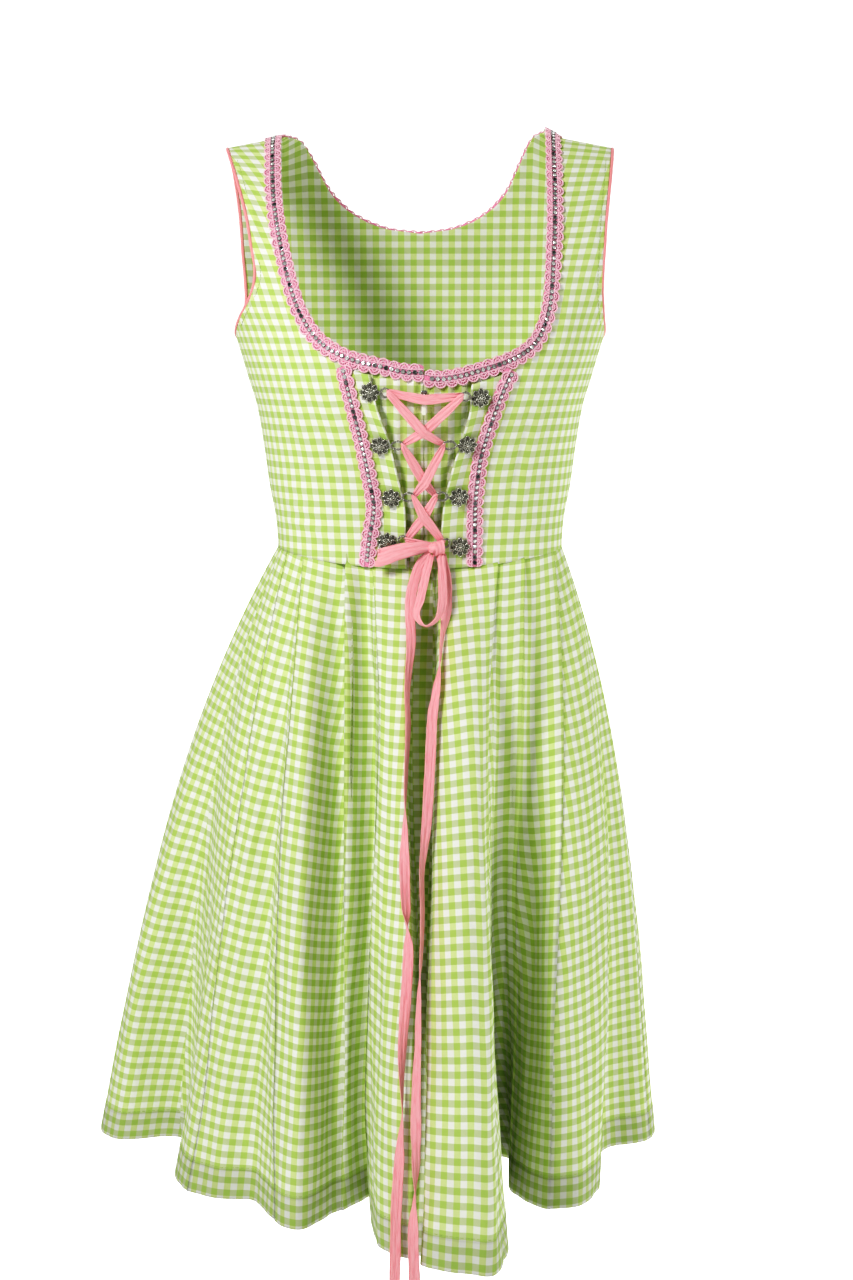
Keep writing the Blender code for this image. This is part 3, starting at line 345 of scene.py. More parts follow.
def waist_height(x):
    """The waist seam is lowest at the centre and rises to the sides."""
    return WAIST_SIDE - WAIST_DIP * (1 - min(1.0, abs(x) / SLOPE_CENTRE) ** 2)


def shoulder_rise(x, z):
    """Height added near the shoulder crest, which falls away from the neck."""
    rise = SHOULDER_SLOPE * (SLOPE_CENTRE - abs(x)) + NECK_SLOPE * max(0.0, NECK_POINT - abs(x))
    return min(rise, 12.0) * max(0.0, 1 + z / SLOPE_FADE) ** 2


def body(angle, z, back=False):
    """Outer surface of the bodice. Angle 0 is the centre line, +-pi/2 the side seams."""
    s, c = math.sin(angle), math.cos(angle)
    x = smooth(HALF_WIDTH, z) * math.copysign(abs(s) ** (2 / SQUARENESS), s)
    y = smooth(DEPTH[back], z) * abs(c) ** (2 / SQUARENESS)
    return Vector((x, y if back else -y, z + shoulder_rise(x, z)))


def angle_at(x, z):
    """The angle at which the bodice has this x, at a height."""
    return math.copysign(math.asin(min(1.0, (abs(x) / smooth(HALF_WIDTH, z)) ** (SQUARENESS / 2))), x)


def outward(angle, z, back=False):
    """Unit normal of the bodice, away from the wearer."""
    turn = 0.004
    here = body(angle, z, back)
    across = body(angle + turn, z, back) - here if angle <= 0 else here - body(angle - turn, z, back)
    up = here - body(angle, z - 0.5, back)
    normal = across.cross(up).normalized()
    return -normal if back else normal


def on_body(angle, z, lift=0.0, back=False):
    return body(angle, z, back) + outward(angle, z, back) * lift


def on_front(x, z, lift=0.0):
    return on_body(angle_at(x, z), z, lift)


def settle(x, z):
    """Heights near the waist follow the dip of the waist seam."""
    if z >= DIP_START:
        return z
    return DIP_START + (z - DIP_START) / (WAIST_SIDE - DIP_START) * (waist_height(x) - DIP_START)


def side_angle(z, back=False):
    """Angle of the edge of a panel at the side seam."""
    return math.pi / 2 - (SEAM / 2 / smooth(DEPTH[back], z)) ** (SQUARENESS / 2)


def fractions(count):
    return [i / (count - 1) for i in range(count)]


@lru_cache(maxsize=None)
def girth_table(back):
    """Rows of (height, length of cloth up to the shoulder crest) along a strap."""
    heights = sorted(set(-200 * t * t for t in fractions(60)))
    angle = angle_at(SLOPE_CENTRE, -20.0)
    points = [body(angle, z, back) for z in heights]
    rows, length = [(0.0, 0.0)], 0.0
    for i in range(len(heights) - 1, 0, -1):
        length -= (points[i] - points[i - 1]).length
        rows.append((heights[i - 1], length))
    return tuple(sorted(rows))


def girth_at(z, back=False):
    """Length of cloth from the shoulder crest to a height, negative downwards."""
    table = girth_table(back)
    return smooth(table, z) if z > table[0][0] else table[0][1] + z - table[0][0]


@lru_cache(maxsize=None)
def arc_table(z, back):
    """Angles from the centre to the side, and the length of cloth from the centre to each."""
    angles = [math.pi / 2 * t for t in fractions(49)]
    points = [body(angle, z, back) for angle in angles]
    lengths = [0.0]
    for here, there in zip(points, points[1:]):
        lengths.append(lengths[-1] + (there - here).length)
    return angles, lengths


def arc_at(angle, z, back=False):
    """Length of cloth across the bodice from the centre line to an angle, signed as x."""
    angles, lengths = arc_table(round(z, 2), back)
    return math.copysign(float(np.interp(abs(angle), angles, lengths)), angle)


def moved_sideways(points, distance, level, back=False):
    """A row of (x, z) points moved along the cloth, square to itself and to its left.

    Above the level each point keeps its height, so that it stays on the rows of its panel.
    """
    girth = girth_table(back)
    height = tuple((length, z) for z, length in girth)
    flat = [(x, girth_at(z, back)) for x, z in points]
    out = []
    for i, (x, g) in enumerate(flat):
        x0, g0 = flat[max(i - 1, 0)]
        x1, g1 = flat[min(i + 1, len(flat) - 1)]
        length = math.hypot(x1 - x0, g1 - g0)
        if points[i][1] > level:
            out.append((x - length / (g1 - g0) * distance, points[i][1]))
            continue
        g += (x1 - x0) / length * distance
        x -= (g1 - g0) / length * distance
        z = smooth(height, g) if g > height[0][0] else g - height[0][0] + height[0][1]
        out.append((x, z))
    return out


@lru_cache(maxsize=None)
def neck_edge(side):
    """Neck edge of the cloth on the front, inside the braid's centre line."""
    return tuple(moved_sideways(NECK_FRONT[side], SIGNS[side] * NECK_ALLOWANCE, FRONT_LEVEL))


def neck_x(side, z):
    return smooth(sorted((point[1], point[0]) for point in neck_edge(side)), z)


def neck_z(side, x):
    return smooth(sorted(neck_edge(side)[:6]), x)


def front_inner_x(side, z):
    """Inner edge of the side front: the sewn line below, the neck edge above."""
    sign = SIGNS[side]
    line = smooth(SEWN_LINE[side], z) + sign * SEAM / 2
    if z < neck_z(side, line):
        return line
    return sign * max(sign * line, sign * neck_x(side, z))


def sewn_x(side, z, gap):
    """The sewn line of a lacing strip at a height, short of it by a gap."""
    return smooth(SEWN_LINE[side], z) - SIGNS[side] * gap


def strip_top(side, x, z):
    """Outer face of a lacing strip: flat where it is sewn in, pulled forward at its free edge."""
    sewn, free = smooth(SEWN_LINE[side], z), smooth(FREE_EDGE[side], z)
    along = (abs(x - sewn) - BRAID_WIDTH / 2) / max(1.0, abs(free - sewn) - BRAID_WIDTH / 2)
    along = min(max(along, 0.0), 1.0)
    below_top = min(1.0, max(0.0, (-178.0 - z) / 14.0))
    return CLEAR + CLOTH + STRIP_PROUD * along * along * (3 - 2 * along) * (0.35 + 0.65 * below_top)


@lru_cache(maxsize=None)
def braid_lower_edge(side):
    """Lower edge of the neck braid across the front, as sorted (x, z)."""
    return tuple(sorted(moved_sideways(NECK_FRONT[side], -SIGNS[side] * BRAID_WIDTH / 2, FRONT_LEVEL)[:7]))


def back_neck_x(sign, z):
    edge = sorted((point[1], point[0]) for point in NECK_BACK)
    return sign * smooth(edge, z) + BACK_SHIFT * (1 - abs(z) / 68.0)


def armhole_x(side, z, back):
    return SIGNS[side] * smooth(BACK_ARMHOLE, z) if back else smooth(FRONT_ARMHOLE[side], z)


def outer_angle(side, z, back=False):
    """Angle of a panel's outer edge: at the side seam, then easing into the armhole."""
    seam = SIGNS[side] * side_angle(z, back)
    if z <= UNDERARM:
        return seam
    edge = angle_at(armhole_x(side, max(z, ARMHOLE_LOW), back), z)
    return seam + (edge - seam) * min(1.0, (z - UNDERARM) / (ARMHOLE_LOW - UNDERARM))


def armhole_line(side):
    """Closed line round an armhole, beyond the edge of the cloth by the piping's radius."""
    steps = [(z, False) for z in ARMHOLE_ROWS]
    steps += [(z, True) for z in reversed(BACK_ARMHOLE_ROWS)]
    edge = []
    for z, back in steps:
        angle = angle_at(armhole_x(side, z, back), z)
        edge.append((on_body(angle, z, 0, back), outward(angle, z, back)))
    edge.append((on_body(SIGNS[side] * math.pi / 2, UNDERARM), Vector((SIGNS[side], 0, 0))))
    middle = sum((point for point, _ in edge), Vector()) / len(edge)
    points = []
    for i, (point, normal) in enumerate(edge):
        away = normal.cross(edge[(i + 1) % len(edge)][0] - edge[i - 1][0]).normalized()
        if away.dot(middle - point) < 0:
            away = -away
        points.append(point + away * (PIPING_RADIUS + CLEAR * 0.3) - normal * CLOTH / 2)
    return np.array(spline(points + points[:1], 6, points[-1], points[1])[:-1])


def hook_frame(x, z, lift):
    """Matrix with its z axis square to the bodice, at a point over the lacing strip."""
    angle = angle_at(x, z)
    normal = outward(angle, z)
    up = normal.cross(Vector((1, 0, 0))).normalized()
    right = up.cross(normal).normalized()
    turn = Matrix((right, up, normal)).transposed().to_4x4()
    return Matrix.Translation(on_body(angle, z, lift)) @ turn


@lru_cache(maxsize=None)
def flower_frame(tag, z, x):
    """Frame of a flower's underside, clear of the strip and of the braid beside it."""
    side = tag[-1]
    base = hook_frame(x, z, 0.0)
    inverse = base.inverted()
    highest = 0.0
    for reach in (0.0, 0.5, 1.0):
        for angle in circle(16):
            px = x + FLOWER_RADIUS * 1.06 * reach * math.cos(angle)
            pz = z + FLOWER_RADIUS * 1.06 * reach * math.sin(angle)
            sewn, free = smooth(SEWN_LINE[side], pz), smooth(FREE_EDGE[side], pz)
            if abs(px - sewn) > abs(free - sewn):
                continue
            beside = abs(px - sewn) < BRAID_WIDTH / 2 + 0.3
            lift = 2 * CLEAR + CLOTH + BRAID if beside else strip_top(side, px, pz)
            highest = max(highest, (inverse @ on_front(px, pz, lift)).z)
    return base @ Matrix.Translation((0, 0, highest + CLEAR))


def chain_frame(tag, z, x, tip_z, tip_x):
    """Frame of a chain loop: its x axis runs from the flower to the tip. Also its half length."""
    frame = flower_frame(tag, z, x)
    tip = frame.inverted() @ on_front(tip_x, tip_z)
    turn = math.atan2(tip.y, tip.x)
    start = FLOWER_RADIUS * 1.06 + CLEAR + CHAIN_RADIUS
    half_length = (math.hypot(tip.x, tip.y) - start) / 2
    shift = Matrix.Translation((start + half_length, 0, CHAIN_LIFT))
    return frame @ Matrix.Rotation(turn, 4, "Z") @ shift, half_length


def loop_frame(tag):
    """Frame and half length of the chain loop with this name."""
    return chain_frame(*next(row for row in HOOKS if row[0] == tag))


def chain_tip(tag):
    """Middle of the wire at the far end of a chain loop."""
    frame, half_length = loop_frame(tag)
    return frame @ Vector((half_length, 0, 0))


def crossing(first, second):
    """Fractions along two stretches, each a pair of points, at which they cross as seen from the front."""
    a, b = first[1] - first[0], second[1] - second[0]
    gap = second[0] - first[0]
    bottom = a.x * b.z - a.z * b.x
    return (gap.x * b.z - gap.z * b.x) / bottom, (gap.x * a.z - gap.z * a.x) / bottom


def fold_rows(name):
    """Forward distance by height of one fold of the front, for what hangs over it."""
    line = next(row for row in FRONT_FOLDS if row[0] == name)
    top = waist_height(line[1])
    start = -on_front(line[1], top).y
    return sorted((top + (HEM - top) * v, through_stations((start, *line[5:8]), v)) for v in fractions(9))


def fold_points(folds, v, backward):
    """Cross-section points of one side of the skirt, at a fraction of its length."""
    points = []
    for _, x0, x1, x2, x3, d1, d2, d3, tuck in folds:
        top = waist_height(x0) - SEAM
        angle = angle_at(x0, top)
        here = on_body(angle, top, -tuck, backward)
        depth0 = here.y if backward else -here.y
        x = through_stations((here.x, x1, x2, x3), v)
        depth = through_stations((depth0, d1, d2, d3), v)
        points.append(Vector((x, depth if backward else -depth, top + (HEM - top) * v)))
    return points


FINISHES = {}


def linked(name, data):
    obj = bpy.data.objects.new(name, data)
    bpy.context.scene.collection.objects.link(obj)
    return obj


def add_piece(name, mesh, finish, nodes=(), body_name="dress"):
    """One visible piece, riding on a body and standing for the named nodes of the model."""
    mesh.materials.append(FINISHES[finish])
    obj = linked(name, mesh)
    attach(obj, body_name)
    if nodes:
        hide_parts(*nodes)
    return obj


def cloth(name, grids, nodes=(), kind="gingham", thickness=CLOTH, offset=-1.0):
    """Cloth from grids of (points, places in the cloth in metres), made thick on the wearer's side.

    Places are given for each point, or for both ends of each step between columns where the
    cloth that lies hidden in a pleat is left out.
    """
    verts, faces, places = [], [], []
    count = 0
    for points, cut in grids:
        points, cut = np.array(points, float), np.array(cut, float)
        if cut.ndim == 3:
            cut = np.stack([cut[:, :-1], cut[:, 1:]], 2)
        index = count + np.arange(points.shape[0] * points.shape[1]).reshape(points.shape[:2])
        quads = np.stack([index[:-1, :-1], index[:-1, 1:], index[1:, 1:], index[1:, :-1]], -1)
        corners = np.stack([cut[:-1, :, 0], cut[:-1, :, 1], cut[1:, :, 1], cut[1:, :, 0]], 2)
        normals = np.cross(points[1:, 1:] - points[:-1, :-1], points[1:, :-1] - points[:-1, 1:])
        if (normals * (points[:-1, :-1] * (1, 1, 0))).sum() < 0:
            quads, corners = quads[..., ::-1], corners[..., ::-1, :]
        verts.append(points.reshape(-1, 3) * MM)
        faces.append(quads.reshape(-1, 4))
        places.append(corners.reshape(-1, 2))
        count += len(verts[-1])
    mesh = bpy.data.meshes.new(name)
    mesh.from_pydata(np.concatenate(verts).tolist(), [], np.concatenate(faces).tolist())
    mesh.uv_layers.new(name="cut").uv.foreach_set("vector", np.concatenate(places).ravel())
    if len(grids) > 1:
        bm = bmesh.new()
        bm.from_mesh(mesh)
        bmesh.ops.remove_doubles(bm, verts=bm.verts, dist=0.02 * MM)
        bm.to_mesh(mesh)
        bm.free()
    mesh.shade_smooth()
    obj = add_piece(name, mesh, kind, nodes)
    thicken = obj.modifiers.new("thickness", "SOLIDIFY")
    thicken.thickness = thickness * MM
    thicken.offset = offset
    return obj


def unit(vectors):
    return vectors / np.maximum(np.linalg.norm(vectors, axis=-1, keepdims=True), 1e-9)


def row_lengths(points):
    """Length along each row up to each of its points."""
    steps = np.linalg.norm(np.diff(points, axis=1), axis=2)
    return np.concatenate([np.zeros((len(points), 1)), np.cumsum(steps, axis=1)], axis=1)


def level_normals(points, axis):
    """Level directions square to rows of points, away from the wearer."""
    across = np.gradient(points, axis=axis)
    out = unit(np.stack([across[..., 1], -across[..., 0], np.zeros(across.shape[:-1])], -1))
    return -out if (out * (points * (1, 1, 0))).sum() < 0 else out


def circle(count):
    """Even turns round a circle, in radians."""
    return [2 * math.pi * k / count for k in range(count)]


def ring_faces(rings, sides, closed=False):
    """Faces between rings of points, and over both ends unless the last ring joins the first."""
    faces = []
    for i in range(rings if closed else rings - 1):
        j = (i + 1) % rings
        for k in range(sides):
            m = (k + 1) % sides
            faces.append((i * sides + k, i * sides + m, j * sides + m, j * sides + k))
    if not closed:
        faces.append(tuple(range(sides))[::-1])
        faces.append(tuple((rings - 1) * sides + k for k in range(sides)))
    return faces


class Shape:
    """Faces gathered for one mesh, with a shade from 0 to 1 on each vertex for its finish."""

    def __init__(self):
        self.points, self.faces, self.shades, self.count = [], [], [], 0

    def add(self, points, faces, shade=0.5):
        self.points.append(np.asarray(points, float))
        self.faces += [[self.count + i for i in face] for face in faces]
        self.shades.append(np.full(len(points), shade))
        self.count += len(points)

    def tube(self, path, radius, sides=5, closed=False, up=(0, 0, 1), shade=0.5):
        path = np.asarray(path, float)
        along = unit(np.roll(path, -1, 0) - np.roll(path, 1, 0) if closed else np.gradient(path, axis=0))
        across = unit(np.cross(along, np.broadcast_to(np.asarray(up, float), path.shape)))
        out = np.cross(across, along)
        radius = np.broadcast_to(radius, (len(path),))[:, None]
        rings = [path + radius * (across * math.cos(turn) + out * math.sin(turn)) for turn in circle(sides)]
        self.add(np.stack(rings, 1).reshape(-1, 3), ring_faces(len(path), sides, closed), shade)

    def lathe(self, profile, sides, matrix=None, shade=0.5, lobes=0, lobe_depth=0.0):
        """Rings of (radius, height), closed at both ends."""
        points = []
        for radius, height in profile:
            for turn in circle(sides):
                reach = radius * (1 + lobe_depth * math.cos(lobes * turn))
                points.append((reach * math.cos(turn), reach * math.sin(turn), height))
        self.add(moved(points, matrix), ring_faces(len(profile), sides), shade)

    def mesh(self, name, surface=None, matrix=None, rounded=True):
        points = np.concatenate(self.points)
        if surface is not None:
            points = surface(points)
        points = moved(points, matrix)
        mesh = bpy.data.meshes.new(name)
        mesh.from_pydata((points * MM).tolist(), [], self.faces)
        mesh.attributes.new("shade", "FLOAT", "POINT").data.foreach_set("value", np.concatenate(self.shades))
        if rounded:
            mesh.shade_smooth()
        return mesh


def moved(points, matrix):
    """Points moved by a matrix."""
    points = np.asarray(points, float)
    if matrix is None:
        return points
    matrix = np.array(matrix)
    return points @ matrix[:3, :3].T + matrix[:3, 3]


class Track:
    """A line on the dress with its width direction and its normal, read by length along it."""

    def __init__(self, points, normals, lift=None, ease=0):
        points, normals = np.array(points), np.array(normals)
        lengths = row_lengths(points[None])[0]
        self.length = float(lengths[-1])
        self.at = np.linspace(0, self.length, max(int(self.length), 2) + 1)
        points, normals = (np.stack([np.interp(self.at, lengths, rows[:, i]) for i in range(3)], 1)
                           for rows in (points, normals))
        for _ in range(ease):
            for rows in (points, normals):
                rows[1:-1] = (rows[:-2] + rows[1:-1] * 2 + rows[2:]) / 4
        along = unit(np.gradient(points, axis=0))
        self.points = points
        self.normals = unit(normals - along * (normals * along).sum(1, keepdims=True))
        self.across = np.cross(self.normals, along)
        self.lift = lift

    def read(self, rows, at):
        return np.stack([np.interp(at, self.at, rows[:, i]) for i in range(3)], -1)

    def surface(self, points):
        """Points given as (along, across, height) put on the dress."""
        at, side, height = points[:, 0], points[:, 1], points[:, 2]
        beyond = at - np.clip(at, 0, self.length)
        height = height + (self.lift(side) if self.lift else 0.0)
        across, normals = self.read(self.across, at), self.read(self.normals, at)
        return (self.read(self.points, at) + across * side[:, None] + normals * height[:, None]
                + unit(np.cross(across, normals)) * beyond[:, None])


def rgb(red, green, blue):
    """Linear colour from the usual 0 to 255 numbers."""
    return tuple(((c / 255 + 0.055) / 1.055) ** 2.4 if c > 10 else c / 255 / 12.92 for c in (red, green, blue))


class Nodes:
    """A short way to place and join the nodes of one tree."""

    def __init__(self, tree):
        self.tree = tree

    def add(self, kind, inputs=None, **settings):
        node = self.tree.nodes.new(kind)
        for key, value in settings.items():
            setattr(node, key, value)
        for key, value in (inputs or {}).items():
            self.give(node.inputs[key], value)
        return node

    def give(self, socket, value):
        if isinstance(value, bpy.types.NodeSocket):
            self.tree.links.new(value, socket)
        else:
            socket.default_value = (*value, 1.0) if socket.type == "RGBA" else value

    def place(self, name, **inputs):
        """A node group placed with its own values."""
        inputs = {key.replace("_", " "): value for key, value in inputs.items()}
        return self.add("ShaderNodeGroup", inputs, node_tree=bpy.data.node_groups[name])

    def on_object(self):
        return self.add("ShaderNodeTexCoord").outputs["Object"]

    def in_cloth(self):
        return self.add("ShaderNodeUVMap", uv_map="cut").outputs[0]

    def attribute(self, name):
        return self.add("ShaderNodeAttribute", attribute_name=name).outputs["Fac"]

    def math(self, operation, *values):
        return self.add("ShaderNodeMath", dict(enumerate(values)), operation=operation).outputs[0]

    def swing(self, value, amount):
        """A value that runs about a half, made to run about nothing by an amount."""
        return self.math("MULTIPLY", self.math("SUBTRACT", value, 0.5), amount)

    def mix(self, factor, first, second):
        node = self.add("ShaderNodeMix", data_type="RGBA")
        for key, value in ((0, factor), (6, first), (7, second)):
            self.give(node.inputs[key], value)
        return node.outputs[2]

    def ramp(self, value, low, high, first=0.0, second=1.0, ease="SMOOTHSTEP"):
        node = self.add("ShaderNodeMapRange", {0: value, 1: low, 2: high, 3: first, 4: second},
                        interpolation_type=ease)
        return node.outputs[0]

    def stretch(self, place, scales):
        return self.add("ShaderNodeVectorMath", {0: place, 1: scales}, operation="MULTIPLY").outputs[0]

    def noise(self, place, scale, detail=2.0, rough=0.5):
        node = self.add("ShaderNodeTexNoise", {"Vector": place, "Scale": scale, "Detail": detail,
                                               "Roughness": rough})
        return node.outputs[0]

    def slanted_lines(self, place, scale, distortion, detail):
        node = self.add("ShaderNodeTexWave", {"Vector": place, "Scale": scale, "Distortion": distortion,
                                              "Detail": detail}, bands_direction="DIAGONAL")
        return node.outputs[1]


def group(name, inputs, outputs):
    """A new node group, its sockets given as "name kind, ...". Also gives what goes in and out."""
    tree = bpy.data.node_groups.new(name, "ShaderNodeTree")
    for way, sockets in (("INPUT", inputs), ("OUTPUT", outputs)):
        for entry in sockets.split(", "):
            label, kind = entry.rsplit(" ", 1)
            tree.interface.new_socket(label, in_out=way, socket_type="NodeSocket" + kind)
    return Nodes(tree), tree.nodes.new("NodeGroupInput").outputs, tree.nodes.new("NodeGroupOutput").inputs


def gingham_check_group():
    """Checks of two crossing sets of stripes, with the two half tones where one set is white."""
    nodes, given, out = group(
        "gingham_check", "Place Vector, Period Float, Edge Float, Full Color, Warp Half Color, Weft Half Color, "
        "Plain Color", "Color Color")
    split = nodes.add("ShaderNodeSeparateXYZ", {0: given["Place"]})
    stripes = []
    for axis in "XY":
        wave = nodes.math("PINGPONG", nodes.math("DIVIDE", split.outputs[axis], given["Period"]), 0.5)
        low = nodes.math("SUBTRACT", 0.25, given["Edge"])
        stripes.append(nodes.ramp(wave, low, nodes.math("ADD", 0.25, given["Edge"])))
    warp, weft = stripes
    white_row = nodes.mix(warp, given["Plain"], given["Warp Half"])
    green_row = nodes.mix(warp, given["Weft Half"], given["Full"])
    nodes.give(out["Color"], nodes.mix(weft, white_row, green_row))


def yarn_weave_group():
    """Height of plain-woven yarns, with slubs, and their shade: painted shade where the yarns dip, with the slubs' own
    tone.
    """
    nodes, given, out = group("yarn_weave", "Place Vector, Yarn Float, Slub Float", "Height Float, Shade Float")
    split = nodes.add("ShaderNodeSeparateXYZ", {0: given["Place"]})
    across, down = (nodes.math("SINE", nodes.math("MULTIPLY", nodes.math(
        "DIVIDE", split.outputs[axis], given["Yarn"]), math.pi)) for axis in "XY")
    height = nodes.ramp(nodes.math("MULTIPLY", across, down), -1.0, 1.0, ease="LINEAR")
    slub = nodes.swing(nodes.noise(nodes.stretch(given["Place"], (1.0, 9.0, 1.0)), 420.0), given["Slub"])
    nodes.give(out["Height"], nodes.math("ADD", height, slub))
    # Painted shade where the yarns dip, plus the slubs' own tone
    nodes.give(out["Shade"], nodes.math("ADD", nodes.swing(height, 0.5), slub))


def soft_variation_group():
    """Slow changes of shade over worn, washed cloth, and the height of its fine crinkles."""
    nodes, given, out = group("soft_variation", "Place Vector, Color Color, Shade Float, Amount Float",
                              "Color Color, Crinkle Float")
    slow = nodes.noise(given["Place"], 14.0, 3.0)
    fine = nodes.noise(given["Place"], 95.0, 3.0, 0.6)
    # The Shade input darkens the colour by the painted shade it is given, such as the weave's dips and the hem's
    # double cloth
    change = nodes.math("ADD", nodes.swing(slow, given["Amount"]), nodes.math("MULTIPLY", given["Shade"], 0.16))
    tint = nodes.add("ShaderNodeHueSaturation", {"Value": nodes.math("ADD", 1.0, change), "Color": given["Color"]})
    nodes.give(out["Color"], tint.outputs[0])
    nodes.give(out["Crinkle"], nodes.math("ADD", fine, slow))


def aged_metal_group():
    """Antique silver: bright where it is rubbed, dark where polish has stayed in the hollows."""
    nodes, given, out = group("aged_metal", "Place Vector, Rubbed Float, Bright Color, Dark Color",
                              "Color Color, Roughness Float, Height Float")
    fine = nodes.noise(given["Place"], 900.0, 3.0, 0.6)
    rubbed = nodes.math("ADD", given["Rubbed"], nodes.swing(fine, 0.7))
    nodes.give(out["Color"], nodes.mix(nodes.ramp(rubbed, 0.15, 0.9), given["Dark"], given["Bright"]))
    nodes.give(out["Roughness"], nodes.ramp(rubbed, 0.1, 1.0, 0.52, 0.22))
    nodes.give(out["Height"], fine)


def new_material(name, **constants):
    """A material with its shader's constants set on the shader's own sockets."""
    material = bpy.data.materials.new(name)
    material.use_nodes = True
    nodes = Nodes(material.node_tree)
    shader = material.node_tree.nodes["Principled BSDF"]
    for key, value in constants.items():
        nodes.give(shader.inputs[key.replace("_", " ")], value)
    return material, nodes, shader


def vary(nodes, shader, **inputs):
    """Give the shader a colour that varies softly. Gives the height of its crinkles."""
    soft = nodes.place("soft_variation", **inputs)
    nodes.give(shader.inputs["Base Color"], soft.outputs["Color"])
    return soft.outputs["Crinkle"]


def bump(nodes, shader, *layers):
    """Bumps of (height, distance, strength), one over another, into the shader's normal."""
    normal = None
    for height, distance, strength in layers:
        node = nodes.add("ShaderNodeBump", {"Height": height, "Distance": distance, "Strength": strength})
        if normal is not None:
            nodes.give(node.inputs["Normal"], normal)
        normal = node.outputs[0]
    nodes.give(shader.inputs["Normal"], normal)


def gingham_finish(sizes, colours):
    material, nodes, shader = new_material("gingham_cotton", Roughness=0.9, Sheen_Weight=0.12,
                                           Sheen_Roughness=0.5, Specular_IOR_Level=0.2)
    place = nodes.in_cloth()
    check = nodes.place("gingham_check", Place=place, Period=sizes.check_period, Edge=0.02, Full=colours.green,
                        Warp_Half=colours.yellow_green, Weft_Half=colours.grey_green, Plain=colours.white)
    weave = nodes.place("yarn_weave", Place=place, Yarn=sizes.yarn_pitch, Slub=0.5)
    # Painted shade: the cloth is made darker where it lies double (the hem band and the turned-in rows at the waist),
    # and darkest along the hem's stitch line as the seam's painted shadow
    shade = nodes.math("MULTIPLY_ADD", nodes.attribute("doubled_painted_shade"), -1.4, weave.outputs["Shade"])
    crinkle = vary(nodes, shader, Place=place, Color=check.outputs[0], Shade=shade, Amount=0.09)
    bump(nodes, shader, (crinkle, 0.0008, 0.35), (weave.outputs["Height"], 0.00006, 0.6))
    return material


def yarn_finish(colours):
    """Thick mercerised yarn: crochet braid, with twist, and painted shade in its hollows and in the twist's grooves.
    """
    material, nodes, shader = new_material("crochet_braid", Roughness=0.85, Sheen_Weight=0.2,
                                           Sheen_Roughness=0.4, Specular_IOR_Level=0.3)
    place = nodes.on_object()
    twist = nodes.slanted_lines(place, 260.0, 3.0, 1.0)
    # Painted shade: low shade values (the ground under the shells) and the twist's grooves take the darker hollow
    # colour, and raised yarn takes the full braid colour
    tone = nodes.math("ADD", nodes.attribute("shade"), nodes.swing(twist, 0.25))
    mixed = nodes.mix(nodes.ramp(tone, 0.0, 1.0, ease="LINEAR"), colours.braid_hollow_shade, colours.braid)
    crinkle = vary(nodes, shader, Place=place, Color=mixed, Amount=0.16)
    bump(nodes, shader, (twist, 0.0001, 0.5), (crinkle, 0.0003, 0.3))
    return material


def ribbon_finish(colours):
    """Thin woven cotton tape with lengthwise creases, made slightly darker in them as painted shade."""
    material, nodes, shader = new_material("lacing_ribbon", Roughness=0.72, Sheen_Weight=0.25,
                                           Sheen_Roughness=0.45, Specular_IOR_Level=0.3)
    place = nodes.in_cloth()
    streak = nodes.noise(nodes.stretch(place, (26.0, 2.2, 1.0)), 42.0, 3.0, 0.6)
    weave = nodes.place("yarn_weave", Place=place, Yarn=0.00035, Slub=0.6)
    # Painted shade: the streaks that bump the creases also darken the colour in them
    mixed = nodes.mix(nodes.ramp(streak, 0.28, 0.62), colours.ribbon_crease_shade, colours.ribbon)
    vary(nodes, shader, Place=place, Color=mixed, Shade=weave.outputs["Shade"], Amount=0.1)
    bump(nodes, shader, (streak, 0.0003, 0.5), (weave.outputs["Height"], 0.00005, 0.5))
    return material


def thread_finish(name, colour):
    """Sewing thread and piping cloth: fine slanted lines over one colour, with painted shade in their grooves."""
    material, nodes, shader = new_material(name, Roughness=0.75, Sheen_Weight=0.2,
                                           Sheen_Roughness=0.45, Specular_IOR_Level=0.3)
    place = nodes.on_object()
    lines = nodes.slanted_lines(place, 420.0, 1.5, 2.0)
    crinkle = vary(nodes, shader, Place=place, Color=colour, Shade=nodes.math("SUBTRACT", lines, 0.5), Amount=0.12)
    bump(nodes, shader, (lines, 0.00008, 0.5), (crinkle, 0.0003, 0.3))
    return material


def metal_finish(name, bright, dark, metallic=0.9):
    material, nodes, shader = new_material(name, Metallic=metallic)
    aged = nodes.place("aged_metal", Place=nodes.on_object(), Rubbed=nodes.attribute("shade"), Bright=bright,
                       Dark=dark)
    nodes.give(shader.inputs["Base Color"], aged.outputs["Color"])
    nodes.give(shader.inputs["Roughness"], aged.outputs["Roughness"])
    bump(nodes, shader, (aged.outputs["Height"], 0.0001, 0.4))
    return material


def stone_finish(bright, dark):
    """Foiled glass stones: each is given a brightness that paints in its glint when bright and its shade when dark,
    and the facets do the rest.
    """
    material, nodes, shader = new_material("foiled_stones", Metallic=0.5, Roughness=0.12, Coat_Weight=1.0,
                                           Coat_Roughness=0.03)
    speck = nodes.noise(nodes.on_object(), 1500.0, 1.0)
    tone = nodes.math("ADD", nodes.attribute("shade"), nodes.swing(speck, 0.3))
    nodes.give(shader.inputs["Base Color"], nodes.mix(nodes.ramp(tone, 0.0, 1.0, ease="LINEAR"), dark, bright))
    return material


def enamel_finish(colour):
    material, nodes, shader = new_material("zip_enamel", Coat_Weight=0.6, Coat_Roughness=0.15)
    crinkle = vary(nodes, shader, Place=nodes.on_object(), Color=colour, Amount=0.06)
    nodes.give(shader.inputs["Roughness"], nodes.ramp(crinkle, 0.6, 1.4, 0.28, 0.42))
    bump(nodes, shader, (crinkle, 0.0001, 0.3))
    return material


